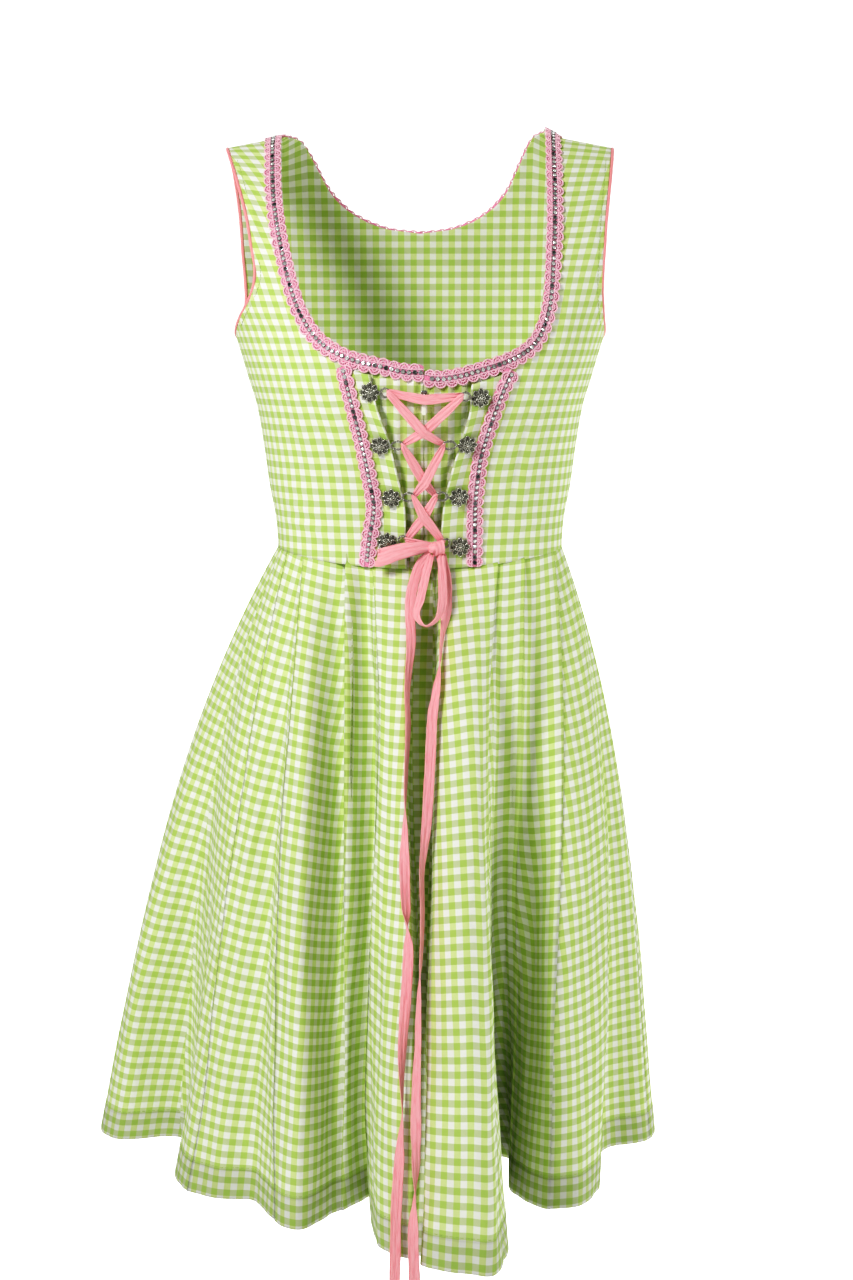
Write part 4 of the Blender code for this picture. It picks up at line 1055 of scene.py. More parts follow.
def make_finishes(sizes, colours):
    """All the materials, made once."""
    for make in (gingham_check_group, yarn_weave_group, soft_variation_group, aged_metal_group):
        make()
    FINISHES.update(
        gingham=gingham_finish(sizes, colours),
        crochet=yarn_finish(colours),
        ribbon=ribbon_finish(colours),
        piping=thread_finish("armhole_piping", colours.piping),
        thread=thread_finish("sewing_thread", colours.thread),
        hooks=metal_finish("antique_silver", colours.silver, colours.tarnish, 0.75),
        cups=metal_finish("stone_cups", colours.cup, colours.tarnish, 0.6),
        stones=stone_finish(colours.stone, colours.dark_stone),
        zip_metal=metal_finish("zip_metal", colours.cup, colours.tarnish),
        enamel=enamel_finish(colours.enamel),
    )


# Soft creases of the side fronts: x and height of both ends, half width and lift
CREASES = {
    "r": ((-96, -112, -66, -215, 6.0, 1.1), (-82, -120, -52, -248, 5.0, 0.9), (-100, -150, -74, -262, 6.0, 0.7),
          (-104, -282, -60, -296, 3.0, 0.8), (-103, -270, -66, -281, 3.0, 0.6), (-100, -257, -74, -264, 3.0, 0.4),
          (-124, -118, -104, -142, 5.0, 0.9), (-128, -40, -118, -96, 4.0, 0.8)),
    "l": ((83, -184, 62, -296, 2.6, -0.9), (92, -180, 71, -296, 4.0, 0.7), (112, -118, 96, -176, 6.0, 0.7),
          (124, -150, 104, -190, 6.0, 0.6), (62, -290, 96, -283, 3.0, 0.5), (128, -30, 124, -100, 4.0, 0.7)),
}
# Where a column of checks runs straight up each side front, as (height, x), and how far it leans
GRAIN_LINE = {
    "r": ((-320, -73), (-250, -78), (-180, -92), (-150, -100), (-100, -111), (-50, -117), (0, -125)),
    "l": ((-320, 74), (-250, 80), (-180, 96), (-150, 104), (-100, 112), (-50, 118), (0, 122)),
}
GRAIN_LEAN = {
    "r": ((-320, 0.0), (-170, 0.0), (-110, 6.0), (-50, 26.0), (0, 52.0)),
    "l": ((-320, 0.0), (-170, 0.0), (-110, -3.0), (-50, -11.0), (0, -22.0)),
}


def creases(rows, x, z):
    """Height of the listed creases at a point, or over arrays of points."""
    total = 0.0
    for x0, z0, x1, z1, half, lift in rows:
        dx, dz = x1 - x0, z1 - z0
        along = np.clip(((x - x0) * dx + (z - z0) * dz) / (dx ** 2 + dz ** 2), 0, 1)
        away = np.hypot(x - x0 - along * dx, z - z0 - along * dz)
        total = total + lift * np.exp(-(away / half) ** 2) * np.sin(math.pi * along) ** 0.7
    return total


def torso_heights(top, rows_below, rows_above):
    """Heights from the waist to a level, and on to the shoulder crest where they close up."""
    low = [WAIST_SIDE + (top - WAIST_SIDE) * t for t in fractions(rows_below)]
    return low + [top * (1 - t) ** 1.7 for t in fractions(rows_above)[1:]]


def panel(name, node, grids):
    """A panel of the bodice. The flat piece it was cut as, its widest row by its longest column and its area, is
    measured but not used.
    """
    width = length = area = 0.0
    for points, _ in grids:
        grid = np.array(points)
        across, down = np.diff(grid, axis=1), np.diff(grid, axis=0)
        width += np.linalg.norm(across, axis=2).sum(1).max()
        length = max(length, np.linalg.norm(down, axis=2).sum(0).max())
        area += np.linalg.norm(np.cross(across[:-1], down[:, :-1]), axis=2).sum() / 2
        area += np.linalg.norm(np.cross(across[1:], down[:, 1:]), axis=2).sum() / 2
    cloth(name, grids, (node,))


def side_front(side):
    """Side front from the side seam to the lacing, with its strap."""
    points, places = [], []
    for z in torso_heights(UNDERARM, 62, 70):
        low = settle(front_inner_x(side, z), z)
        start, end = angle_at(front_inner_x(side, low), low), outer_angle(side, z)
        straight = arc_at(angle_at(smooth(GRAIN_LINE[side], z), z), z)
        lean = smooth(GRAIN_LEAN[side], z)
        row, place = [], []
        for t in fractions(56):
            angle = start + (end - start) * t
            x = body(angle, z).x
            here = settle(x, z)
            fade = min(1.0, 6 * t, 5 * (1 - t))
            row.append(on_body(angle, here, creases(CREASES[side], x, here) * fade * 1.6))
            across = arc_at(angle, z) - straight
            up = girth_at(z) + here - z - across * SIGNS[side] * abs(lean) / 150
            place.append(((across + lean) * 0.95 * MM, up * 1.07 * MM))
        points.append(row)
        places.append(place)
    panel(f"side_front_{side}", f"bodice_front_{side}", [(points, places)])


def laced_grid(inner, outer, top, columns, lift, rows=56):
    """Grid between two lines on the front, from the waist seam up to a top edge."""
    points, spots = [], []
    for share in fractions(rows):
        row, spot = [], []
        for t in fractions(columns):
            z = WAIST_SIDE + (LACED_TOP - WAIST_SIDE) * share
            for _ in range(5):
                x = inner(z) + (outer(z) - inner(z)) * t
                low = settle(x, WAIST_SIDE)
                z = low + (top(x) - low) * share
            row.append(on_front(x, z, lift(x, z)))
            spot.append((x, z))
        points.append(row)
        spots.append(spot)
    return points, spots


def near_hooks(side, z):
    """1 beside a hook, which holds the cloth, and nothing between hooks."""
    return min(1.0, sum(math.exp(-((z - row[1]) / 9) ** 2) for row in HOOKS if row[0][-1] == side))


def above_waist(x, z, over):
    """Rises from nothing at the waist seam to 1 over a height."""
    return min(1.0, max(0.0, (z - settle(x, WAIST_SIDE)) / over))


def centre_panels():
    """Panels behind the lacing, gathered slightly towards the zip."""
    for side in "rl":
        sign = SIGNS[side]

        def ripple(x, z):
            away = abs(x - ZIP_X)
            held = min(1.0, away / 4) * min(1.0, max(0.0, (abs(smooth(SEWN_LINE[side], z)) - abs(x)) / 8))
            folds = math.sin(away * 2 * math.pi / 10.5 + z / 60) * 0.7 + math.sin(away * 2 * math.pi / 6.1 + 1) * 0.3
            drawn_in = math.exp(-(((smooth(FREE_EDGE[side], z) - x) * sign - 0.6) / 2.2) ** 2)
            return (folds * held - 4.0 * drawn_in * (1 - near_hooks(side, z))) * above_waist(x, z, 12)

        points, spots = laced_grid(lambda z: ZIP_X + sign * SEAM / 2, lambda z: sewn_x(side, z, SEAM / 2),
                                   lambda x: neck_z(side, x), 44, ripple)
        places = [[((x - ZIP_X) * 1.02 * MM, z * MM) for x, z in row] for row in spots]
        panel(f"centre_panel_{side}", f"front_centre_{side}", [(points, places)])


def lacing_strips():
    """Strips with a free inner edge, pulled a little forward between the hooks."""
    for side in "rl":
        edge = braid_lower_edge(side)

        def lift(x, z):
            sewn, free = smooth(SEWN_LINE[side], z), smooth(FREE_EDGE[side], z)
            along = min(max((abs(x - sewn) - 9) / max(1.0, abs(free - sewn) - 9), 0.0), 1.0)
            pulled = 3.2 * along * along * (1 - near_hooks(side, z))
            return strip_top(side, x, z) + pulled * above_waist(x, z, 10)

        points, spots = laced_grid(lambda z: smooth(FREE_EDGE[side], z), lambda z: sewn_x(side, z, SEAM),
                                   lambda x: smooth(edge, x) - CLEAR, 20, lift, 60)
        places = [[((abs(x) - abs(smooth(FREE_EDGE[side], z)) + 1.5) * MM, (z + 2.2) * MM) for x, z in row]
                  for row in spots]
        panel(f"laced_strip_{side}", f"lacing_strip_{side}", [(points, places)])


def back_panel():
    """Back with its straps and the scooped neck."""
    grids = []
    neck = NECK_BACK_LOW
    heights = torso_heights(UNDERARM, 40, 2)[:-1]
    heights += [UNDERARM + (neck - UNDERARM) * t for t in fractions(24)[1:]]
    heights += [neck * (1 - t) ** 1.7 for t in fractions(40)[1:]]
    for side in "rl":
        points, places = [], []
        for z in heights:
            start = outer_angle(side, z, True)
            end = angle_at(back_neck_x(SIGNS[side], z), z) if z > neck else 0.0
            row, place = [], []
            for t in fractions(64):
                angle = start + (end - start) * t
                x = body(angle, z, True).x
                here = settle(x, z)
                dart = -0.8 * math.exp(-((abs(x) - 62 - (z + 300) * 0.1) / 2.2) ** 2)
                dart *= min(1.0, max(0.0, (-170 - z) / 60))
                soft = 0.5 * math.sin(x / 13 + z / 31) * min(1.0, 6 * t, max(0.0, (-z - 90) / 60))
                lift = (dart + soft * min(1.0, t * 8)) * above_waist(x, here, 8)
                row.append(on_body(angle, here, lift, True))
                place.append((arc_at(angle, z, True) * MM, (girth_at(z, True) + here - z) * MM))
            points.append(row)
            places.append(place)
        grids.append((points, places))
    panel("back_panel", "bodice_back", grids)


# Pleats of the front, each at a fold: the side that lies on top (-1 towards the wearer's right, 0 for
# a cut that is hidden) and the step at the four stations; then, for the panel after it, the fold its
# checks run along and how many degrees they turn
FRONT_PLEATS = (
    ("side_r", 0, (), "corner_r", -6),
    ("hollow_1", 0, (), "fold_1_edge", -6),
    ("fold_1_turn", 1, (0.5, 1.0, 1.4, 0.8), "fold_1_crest", -7),
    ("fold_2_edge", 1, (0.9, 1.3, 1.3, 0.8), "fold_2_crest", -5),
    ("fold_3_edge", 1, (8.0, 4.6, 3.0, 1.4), "hollow_3", -3),
    ("fold_4_edge", 1, (0.4, 1.6, 2.4, 1.6), "fold_4_wall", -3),
    ("pleat_inside_r", 0, (), "pleat_inside_r", 0),
    ("pleat_inside_l", 0, (), "fold_5_crest", 3),
    ("fold_5_edge", -1, (2.4, 3.4, 2.4, 1.2), "fold_6_edge", 0),
    ("fold_6_edge", -1, (3.0, 4.4, 1.8, 0.4), "fold_7_crest", 1),
    ("fold_7_crest", -1, (1.2, 1.6, 1.4, 1.0), "fold_7_turn", 8),
    ("fold_7_edge", -1, (0.3, 1.0, 1.4, 1.0), "fold_7_edge", 4),
    ("hollow_7", 0, (), "side_l", 0),
)
BACK_PLEATS = (
    ("side_l", 0, (), "back_1_crest", -4),
    ("back_hollow_1", 0, (), "back_2_crest", -3),
    ("back_hollow_2", 0, (), "back_3_crest", -2),
    ("back_3_crest", -1, (1.6, 1.2, 0.8, 0.4), "back_3_crest", 0),
    ("back_hollow_3", 0, (), "back_4_crest", 0),
    ("back_4_crest", 1, (1.6, 1.2, 0.8, 0.4), "back_4_crest", 0),
    ("back_hollow_4", 0, (), "back_5_crest", 2),
    ("back_hollow_5", 0, (), "back_6_crest", 4),
)
# Soft creases of the skirt's front: x and height of both ends, half width and lift
SKIRT_CREASES = (
    (-150, -580, -118, -505, 4.0, 0.9), (-132, -560, -112, -500, 3.0, -0.7), (-118, -640, -96, -585, 3.5, 0.9),
    (-156, -660, -128, -590, 4.0, 0.8), (-70, -420, -60, -470, 4.0, -1.2), (-66, -330, -58, -400, 3.5, -1.4),
    (-45, -345, -40, -470, 4.0, -1.6), (-38, -340, -33, -400, 3.0, 1.0), (-74, -640, -58, -560, 5.0, 1.0),
    (44, -330, 40, -420, 3.0, 0.9), (92, -600, 74, -540, 3.5, 0.9), (88, -470, 80, -430, 3.0, -0.7),
    (-205, -760, -176, -745, 3.0, 0.8), (-150, -740, -120, -752, 3.0, -0.7), (-14, -520, -12, -640, 3.0, -0.9),
    (116, -640, 98, -575, 4.0, 0.9), (22, -560, 18, -680, 4.0, 0.8), (-96, -700, -84, -640, 4.0, 0.9),
)


def press_pleats(points, out, shares, columns, pleats):
    """Steps of the pleats, each with a column more for the lower layer that starts under the upper.

    Gives the points, where each old column went, and the first column of each panel.
    """
    arcs = row_lengths(points)
    along = unit(np.gradient(points, axis=1))
    lift = np.zeros(points.shape[:2])
    under, firsts = {}, {}
    for name, side, heights, _, _ in pleats:
        at = columns[name]
        if side == 0:
            continue
        high = np.array([[through_stations(heights, v)] for v in shares])
        away = arcs - arcs[:, at:at + 1]
        lower = (np.arange(points.shape[1])[None, :] - at) * side < 0
        lift += np.where(lower, -0.65, 0.35) * np.minimum(high, 4.5) * np.exp(-(away / 13.0) ** 2)
        lift -= lower * 3.0 * np.maximum(0, high - 4.5) * np.exp(-(away / 4.0) ** 2)
        high = np.minimum(high, 4.5)
        hidden = 0.4 * np.minimum(1, high) + 0.8 * high
        under[at] = (side, points[:, at] - out[:, at] * 0.65 * high + along[:, at] * side * hidden)
    lifted = points + out * lift[..., None]
    rows, moved_to = [], []
    for column in range(points.shape[1]):
        side, low = under.get(column, (0, None))
        if side > 0:
            firsts[column] = len(rows)
            rows.append(low)
        moved_to.append(len(rows))
        rows.append(lifted[:, column])
        if side < 0:
            firsts[column] = len(rows)
            rows.append(low)
    return np.stack(rows, 1), moved_to, [firsts.get(columns[row[0]], moved_to[columns[row[0]]]) for row in pleats]


# Height of the seam allowance at the waist above its turn
TURNED_UP = 6.0


def skirt_half(name, node, backward):
    """Half of the skirt, its cloth running straight down each fold and hidden in the pleats."""
    folds, other = (BACK_FOLDS, FRONT_FOLDS) if backward else (FRONT_FOLDS, BACK_FOLDS)
    pleats = BACK_PLEATS if backward else FRONT_PLEATS
    samples = 10 if backward else 8
    hem_line = 1 - HEM_DEPTH / 500
    shares = sorted(set(fractions(74)) | {0.006, 0.015, hem_line - 0.004, hem_line, hem_line + 0.004, 0.994})
    columns = {row[0]: i * samples for i, row in enumerate(folds)}
    rows = []
    for v in shares:
        beside = fold_points(other, v, not backward)
        stops = fold_points(folds, v, backward)
        stops[0], stops[-1] = (stops[0] + beside[-1]) / 2, (stops[-1] + beside[0]) / 2
        row = spline(stops, samples, beside[-2], beside[1])
        row[0] = row[0] + (row[1] - row[0]).normalized() * SIDE_SEAM / 6
        row[-1] = row[-1] + (row[-2] - row[-1]).normalized() * SIDE_SEAM / 6
        rows.append(row)
    points = np.array(rows)
    count = points.shape[1]
    out = level_normals(points, 1)
    down = np.array(shares)[:, None]
    hem = row_lengths(points)[-1][None, :]
    held = np.sin(np.clip(down, 0, 1) * math.pi / 2) ** 0.8
    wave = (1.1 * np.sin(2 * math.pi * (hem / 92 + 1.3 * down)) + 0.6 * np.sin(2 * math.pi * (hem / 41 - 2.3 * down))
            + 0.35 * np.sin(2 * math.pi * (hem / 23 + 4.1 * down) + 1)) * held
    if not backward:
        wave = wave + creases(SKIRT_CREASES, points[..., 0], points[..., 2])
    edge = np.minimum(1.0, np.minimum(np.arange(count), count - 1 - np.arange(count)) / 6)[None, :]
    turned_up = 0.35 * np.clip((down - hem_line + 0.004) / 0.008, 0, 1)
    points = points + out * (wave * edge + turned_up)[..., None]
    points, moved_to, firsts = press_pleats(points, out, shares, columns, pleats)
    count = points.shape[1]
    arcs = row_lengths(points)
    drops = np.linalg.norm(np.diff(points, axis=0), axis=2)
    heights = np.concatenate([np.cumsum(drops[::-1], axis=0)[::-1], np.zeros((1, count))])
    heights = heights / heights[0] * heights[0].mean()
    place = np.zeros((len(shares), count - 1, 2, 2))
    place[..., 0, 1], place[..., 1, 1] = heights[:, :-1], heights[:, 1:]
    lasts = firsts[1:] + [count - 1]
    slopes = np.clip((1 - down) / 0.3, 0, 1)
    falls = (slopes[1:] + slopes[:-1]) / 2 * np.diff(heights.mean(1))[:, None]
    run = np.concatenate([[[0.0]], np.cumsum(falls, axis=0)])
    for first, last, (_, _, _, ridge, turn) in zip(firsts, lasts, pleats):
        ridge = moved_to[columns[ridge]]
        away = arcs - arcs[:, ridge:ridge + 1]
        slant = math.tan(math.radians(turn))
        here = arcs[-1][ridge] + away + run * slant
        drop = away * slopes * slant
        for end in (0, 1):
            place[:, first:last, end, 0] = here[:, first + end:last + end]
            place[:, first:last, end, 1] -= drop[:, first + end:last + end]
    # The seam allowance at the waist, turned up behind the bodice
    turned_in = points[:1] - unit(points[:1] * (1, 1, 0)) * (CLOTH + 0.25) + (0, 0, 2 * SEAM + 1.5)
    above = place[:1] + (0, 2 * SEAM + 1.5)
    rises = []
    for x, _, z in points[0]:
        angle = angle_at(x, z)
        rises.append(body(angle, z + TURNED_UP, backward) - body(angle, z, backward))
    higher = turned_in + np.array(rises)[None]
    cut_points = np.concatenate([higher, turned_in, points])
    cut_places = np.concatenate([above + (0, TURNED_UP), above, place]) * (1.02, 1.06)
    obj = cloth(name, [(cut_points, cut_places * MM)], (node,))
    # Painted shade for the skirt's finish: 1 where the cloth lies double at the hem and in the turned-in rows at the
    # waist, 1.5 on the hem's stitch line as the seam's painted shadow
    doubled_painted_shade = np.concatenate([[[1.0], [1.0]], (down > hem_line) * 1.0 + (down == hem_line) * 1.5]).repeat(count, 1)
    obj.data.attributes.new("doubled_painted_shade", "FLOAT", "POINT").data.foreach_set("value", doubled_painted_shade.ravel())
    return obj, points, (float(arcs[0][-1]), float(arcs[-1][-1])), float(heights[0].mean())


def scallop(shape, at, side, reach, random_turn):
    """One crocheted shell of the braid: arcs of yarn one inside another, tied by short bars."""
    for radius, yarn, rise, shade in ((reach, 0.6, 0.8, 1.0), (reach * 0.47, 0.5, 0.9, 0.95)):
        path = []
        for t in fractions(10):
            turn = math.radians(-14 + 208 * t)
            path.append((at + radius * math.cos(turn), side * (2.45 + radius * math.sin(turn) * 1.02),
                         rise + 0.12 * math.sin(9 * turn + random_turn)))
        shape.tube(path, yarn, shade=shade)
    for i in range(5):
        turn = math.radians(24 + 33 * i)
        ends = [(at + r * math.cos(turn), side * (2.45 + r * math.sin(turn)), 0.7) for r in (reach * 0.5, reach)]
        shape.tube(ends, 0.3, 4, shade=0.8)


def braid_shape(length, pitch):
    """Crocheted braid laid out flat: a ground coloured as painted shade in the hollows, shells on both edges, cords
    beside the stones.
    """
    draws = random.Random(7)
    shape = Shape()
    count = max(2, round(length / pitch))
    step = length / count
    rows = int(length / 0.8)
    points, faces = [], []
    for i in range(rows + 1):
        at = length * i / rows
        edge = 4.6 + 1.5 * abs(math.sin(math.pi * at / step))
        for side, height in ((-edge, 0.1), (-edge, 0.4), (0, 0.5), (edge, 0.4), (edge, 0.1)):
            points.append((at, side, height))
    for i in range(rows):
        for k in range(4):
            faces.append((i * 5 + k, i * 5 + 5 + k, i * 5 + 6 + k, i * 5 + 1 + k))
        faces.append((i * 5 + 4, i * 5 + 9, i * 5 + 5, i * 5))
    faces += [(0, 1, 2, 3, 4), tuple(rows * 5 + k for k in (4, 3, 2, 1, 0))]
    # The ground's low shade paints the shade in the hollows between the yarns
    shape.add(points, faces, 0.12)
    for i in range(count):
        for side in (-1, 1):
            shift = 0.0 if side > 0 else 0.35
            at = step * (i + 0.5) + shift * step * (1 if i < count - 1 else 0)
            reach = min(3.75, step / 2 - 0.1) * draws.uniform(0.95, 1.05)
            scallop(shape, min(at, length - reach), side, reach, draws.uniform(0, 6))
    for side in (-1, 1):
        for phase, offset in ((0.0, 2.15), (math.pi, 2.45)):
            marks = np.arange(0, length, 0.45)
            turns = marks * 2 * math.pi / 2.4 + phase
            path = np.stack([marks, side * (offset + 0.32 * np.sin(turns)), 0.95 + 0.22 * np.cos(turns)], 1)
            shape.tube(path, 0.42, shade=0.85)
    return shape


def stone_shapes(length, pitch, start=0.0, seed=3):
    """Foiled stones in round cups, set in a row: the cups and the stones as two shapes."""
    draws = random.Random(seed)
    cups, stones = Shape(), Shape()
    count = int((length - start) / pitch)
    for i in range(count):
        place = Matrix.Translation((start + pitch * (i + 0.5), draws.uniform(-0.12, 0.12), 0.45))
        place @= Matrix.Rotation(draws.uniform(0, 6), 4, "Z") @ Matrix.Rotation(draws.uniform(-0.12, 0.12), 4, "X")
        cups.lathe(((1.62, 0.0), (1.72, 0.75), (1.62, 1.02), (1.42, 1.05), (1.36, 0.8)), 12, place,
                   shade=draws.uniform(0.35, 0.9))
        # Painted glint and shade: each stone's shade picks a brightness at random, most bright as if catching the
        # light, some middling, some dark as if catching none
        kind = draws.random()
        shade = draws.uniform(*((0.8, 1.0) if kind < 0.62 else (0.4, 0.7) if kind < 0.82 else (0, 0.2)))
        stones.lathe(((1.4, 0.7), (1.38, 0.95), (0.85, 1.42), (0.8, 1.45)), 8, place, shade)
        if i < count - 1:
            middle = start + pitch * (i + 1)
            cups.tube([(middle - 0.8, 0, 0.8), (middle + 0.8, 0, 0.8)], 0.3)
    return cups, stones


def lay_braid(tag, track, sizes, nodes, start=0.0, seed=3):
    """Braid with its stones along a track on the dress."""
    braid = braid_shape(track.length, sizes.braid_pitch / MM).mesh(f"braid_{tag}", track.surface)
    add_piece(f"crochet_{tag}", braid, "crochet", nodes)
    cups, stones = stone_shapes(track.length, sizes.stone_pitch / MM, start, seed)
    add_piece(f"stone_cups_{tag}", cups.mesh(f"cups_{tag}", track.surface, rounded=False), "cups")
    add_piece(f"stones_{tag}", stones.mesh(f"stones_{tag}", track.surface, rounded=False), "stones")


def neck_track():
    """Round the neck: from the centre front over the wearer's right shoulder and back on the left."""
    spots = []
    for side in "rl":
        across = [row for row in NECK_FRONT[side] if row[1] <= FRONT_LEVEL]
        line = [(p.x, p.y) for p in spline([(x, z, 0) for x, z in across], 6)]
        line[0] = (ZIP_X + SIGNS[side] * SEAM / 2, line[0][1])
        strap = tuple(sorted((z, x) for x, z in NECK_FRONT[side]))
        heights = [FRONT_LEVEL * (1 - t) ** 1.7 for t in fractions(36)]
        line += [(smooth(strap, z), z) for z in heights if z > line[-1][1] + 1]
        spots.append([(x, z, False) for x, z in line])
    across = [(x, smooth(NECK_BACK, abs(x))) for x in range(-56, 57, 7)]
    heights = [NECK_BACK[-1][1] + BACK_LEVEL * (1 - t) ** 1.7 for t in fractions(24)]
    sides = [[(back_neck_x(sign, z), z) for z in heights if z > -44] for sign in (-1, 1)]
    line = sides[0][::-1] + [(x + BACK_SHIFT * (1 - abs(z) / 68.0), z) for x, z in across] + sides[1]
    line = moved_sideways(line, -NECK_ALLOWANCE, BACK_LEVEL, True)
    spots.insert(1, [(x, z, True) for x, z in line])
    spots[2].reverse()
    path = [spot for part in spots for spot in part]
    points, normals = [], []
    for x, z, back in path:
        angle = angle_at(x, z)
        if points and (body(angle, z, back) - points[-1]).length < 0.6:
            continue
        lift = BRAID_CLEAR + (0.3 if back else 0.0)
        points.append(on_body(angle, z, lift, back))
        normals.append(outward(angle, z, back))
    return Track(points, normals, ease=14)


def front_track(side):
    """Down the seam of a lacing strip, from under the neck braid to the waist seam."""
    edge = braid_lower_edge(side)
    top = smooth(edge, smooth(SEWN_LINE[side], LACED_TOP)) + 1.0
    points, normals = [], []
    for t in fractions(40):
        low = settle(smooth(SEWN_LINE[side], WAIST_SIDE), WAIST_SIDE)
        z = top + (low - top) * t
        x = smooth(SEWN_LINE[side], z)
        points.append(on_front(x, z))
        normals.append(outward(angle_at(x, z), z))
    inner = CLEAR + CLOTH + CLEAR

    def lift(side_way):
        share = np.clip((5 - side_way * SIGNS[side]) / 6, 0, 1)
        return BRAID_CLEAR + (inner - BRAID_CLEAR) * share

    return Track(points, normals, lift, ease=3)


def braids(sizes):
    """The braid round the neck and the two that run down the lacing strips."""
    lay_braid("neck", neck_track(), sizes, ("braid_neck_r", "braid_neck_back", "braid_neck_l"))
    for side, seed in (("r", 11), ("l", 23)):
        lay_braid(f"front_{side}", front_track(side), sizes, (f"braid_front_{side}",), 1.0, seed)


def flower_hook(tag, z, x):
    """Filigree flower: eight looped petals and beads over a dark pierced ground."""
    shape = Shape()
    shape.lathe(((5.9, 0.0), (6.3, 0.5), (4.4, 1.15), (1.6, 1.5)), 32, shade=0.08, lobes=8, lobe_depth=0.06)
    for turn in circle(8):
        matrix = Matrix.Rotation(turn, 4, "Z")
        for reach, long, wide, rise, wire, shade in ((4.75, 2.5, 1.75, 1.25, 0.4, 0.85),
                                                     (4.75, 1.35, 0.85, 1.35, 0.3, 0.5)):
            path = [(reach + long * math.cos(a), wide * math.sin(a), rise - 0.25 * math.cos(a)) for a in circle(12)]
            shape.tube(moved(path, matrix), wire, closed=True, shade=shade)
        path = [(2.15 + 1.05 * math.cos(a), 0.75 * math.sin(a), 2.1 - 0.2 * math.cos(a)) for a in circle(8)]
        shape.tube(moved(path, matrix), 0.32, closed=True, shade=0.8)
        beads = ((7.05, 0.0, 1.1, 0.52), (3.3, 0.0, 2.05, 0.5), (4.75, 0.0, 1.75, 0.45), (5.6, math.pi / 8, 1.2, 0.42))
        for reach, twist, height, size in beads:
            place = Matrix.Rotation(turn + twist, 4, "Z") @ Matrix.Translation((reach, 0, height))
            turns = [math.pi * t for t in (0.12, 0.35, 0.6, 0.85)]
            round_bead = [(size * math.sin(a), -size * math.cos(a)) for a in turns]
            shape.lathe(round_bead, 7, place, 1.0)
    shape.lathe(((0.3, 1.4), (1.15, 1.9), (1.2, 2.5), (0.75, 3.1), (0.2, 3.35)), 10, shade=0.95)
    mesh = shape.mesh(f"flower_{tag}", matrix=flower_frame(tag, z, x))
    add_piece(f"flower_hook_{tag}", mesh, "hooks", (f"hook_{tag}",))


def chain(tag):
    """Fine chain of small links along the loop that the ribbon runs through."""
    place, half = loop_frame(tag)
    turns = [2 * math.pi * k / 240 for k in range(241)]
    dense = np.array([(half * math.cos(a), CHAIN_HALF_HEIGHT * math.sin(a), 0.0) for a in turns])
    lengths = row_lengths(dense[None])[0]
    count = 2 * round(lengths[-1] / 2.3)
    shape = Shape()
    for i in range(count):
        at = lengths[-1] * i / count
        here, ahead = ([float(np.interp(at + d, lengths, dense[:, k])) for k in range(3)] for d in (0, 0.3))
        turn = math.atan2(ahead[1] - here[1], ahead[0] - here[0])
        matrix = Matrix.Translation(here) @ Matrix.Rotation(turn, 4, "Z")
        matrix @= Matrix.Rotation(math.pi / 4 + i % 2 * math.pi / 2, 4, "X")
        link = [(1.05 * math.cos(a), 0.72 * math.sin(a), 0.0) for a in circle(8)]
        shape.tube(moved(link, matrix), 0.36, closed=True, up=matrix.to_3x3() @ Vector((0, 0, 1)), shade=0.65)
    mesh = shape.mesh(f"chain_{tag}", matrix=place)
    add_piece(f"hook_chain_{tag}", mesh, "hooks", (f"chain_{tag}",))


def hooks():
    for tag, z, x, _, _ in HOOKS:
        flower_hook(tag, z, x)
        chain(tag)


def piping():
    """Round piping of bias-cut cloth along each armhole."""
    for side in "rl":
        line = armhole_line(side)
        marks = np.arange(len(line))
        bumps = PIPING_RADIUS * (1 + 0.05 * np.sin(marks * 1.9) + 0.04 * np.sin(marks * 0.7))
        shape = Shape()
        shape.tube(line, bumps, 12, True, unit(line - line.mean(0)), 0.6)
        add_piece(f"armhole_piping_{side}", shape.mesh(f"piping_{side}"), "piping", (f"piping_{side}",))


def stitches(name, lines, long=2.2, gap=1.0):
    """Rows of sewing stitches, each a short low tube, along lines of (points, normals)."""
    shape = Shape()
    for points, normals in lines:
        track = Track(points, normals)
        at = 0.4
        while at + long < track.length:
            marks = np.array([at, at + long * 0.15, at + long * 0.5, at + long * 0.85, at + long])
            rise = np.array([-0.1, 0.12, 0.2, 0.12, -0.1])
            path = track.surface(np.stack([marks, np.zeros(5), rise], 1))
            shape.tube(path, 0.19, up=track.read(track.normals, np.array([at + long / 2]))[0], shade=0.6)
            at += long + gap
    add_piece(name, shape.mesh(name), "thread")


def seam_stitches(hem_lines):
    """Topstitching beside the zip, round the armholes and along the hem."""
    lines = []
    for side in "rl":
        x = ZIP_X + SIGNS[side] * 5.2
        heights = [WAIST_SIDE - 6 + 116 * t for t in fractions(30)]
        heights = [z for z in heights if settle(x, WAIST_SIDE) + 2 < z < neck_z(side, x) - 3]
        lines.append(([on_front(x, z, 0.25) for z in heights], [outward(angle_at(x, z), z) for z in heights]))
    for side in "rl":
        for back in (False, True):
            heights = [-140 + 128 * t for t in fractions(26)]
            spots = [(angle_at(armhole_x(side, z, back) - SIGNS[side] * 3.5, z), z) for z in heights]
            lines.append(([on_body(angle, z, 0.15, back) for angle, z in spots],
                          [outward(angle, z, back) for angle, z in spots]))
    stitches("bodice_stitches", lines)
    outs = [level_normals(points, 0) for points in hem_lines]
    stitches("hem_stitches", [(points + out * 0.1, out) for points, out in zip(hem_lines, outs)], 2.6, 1.3)


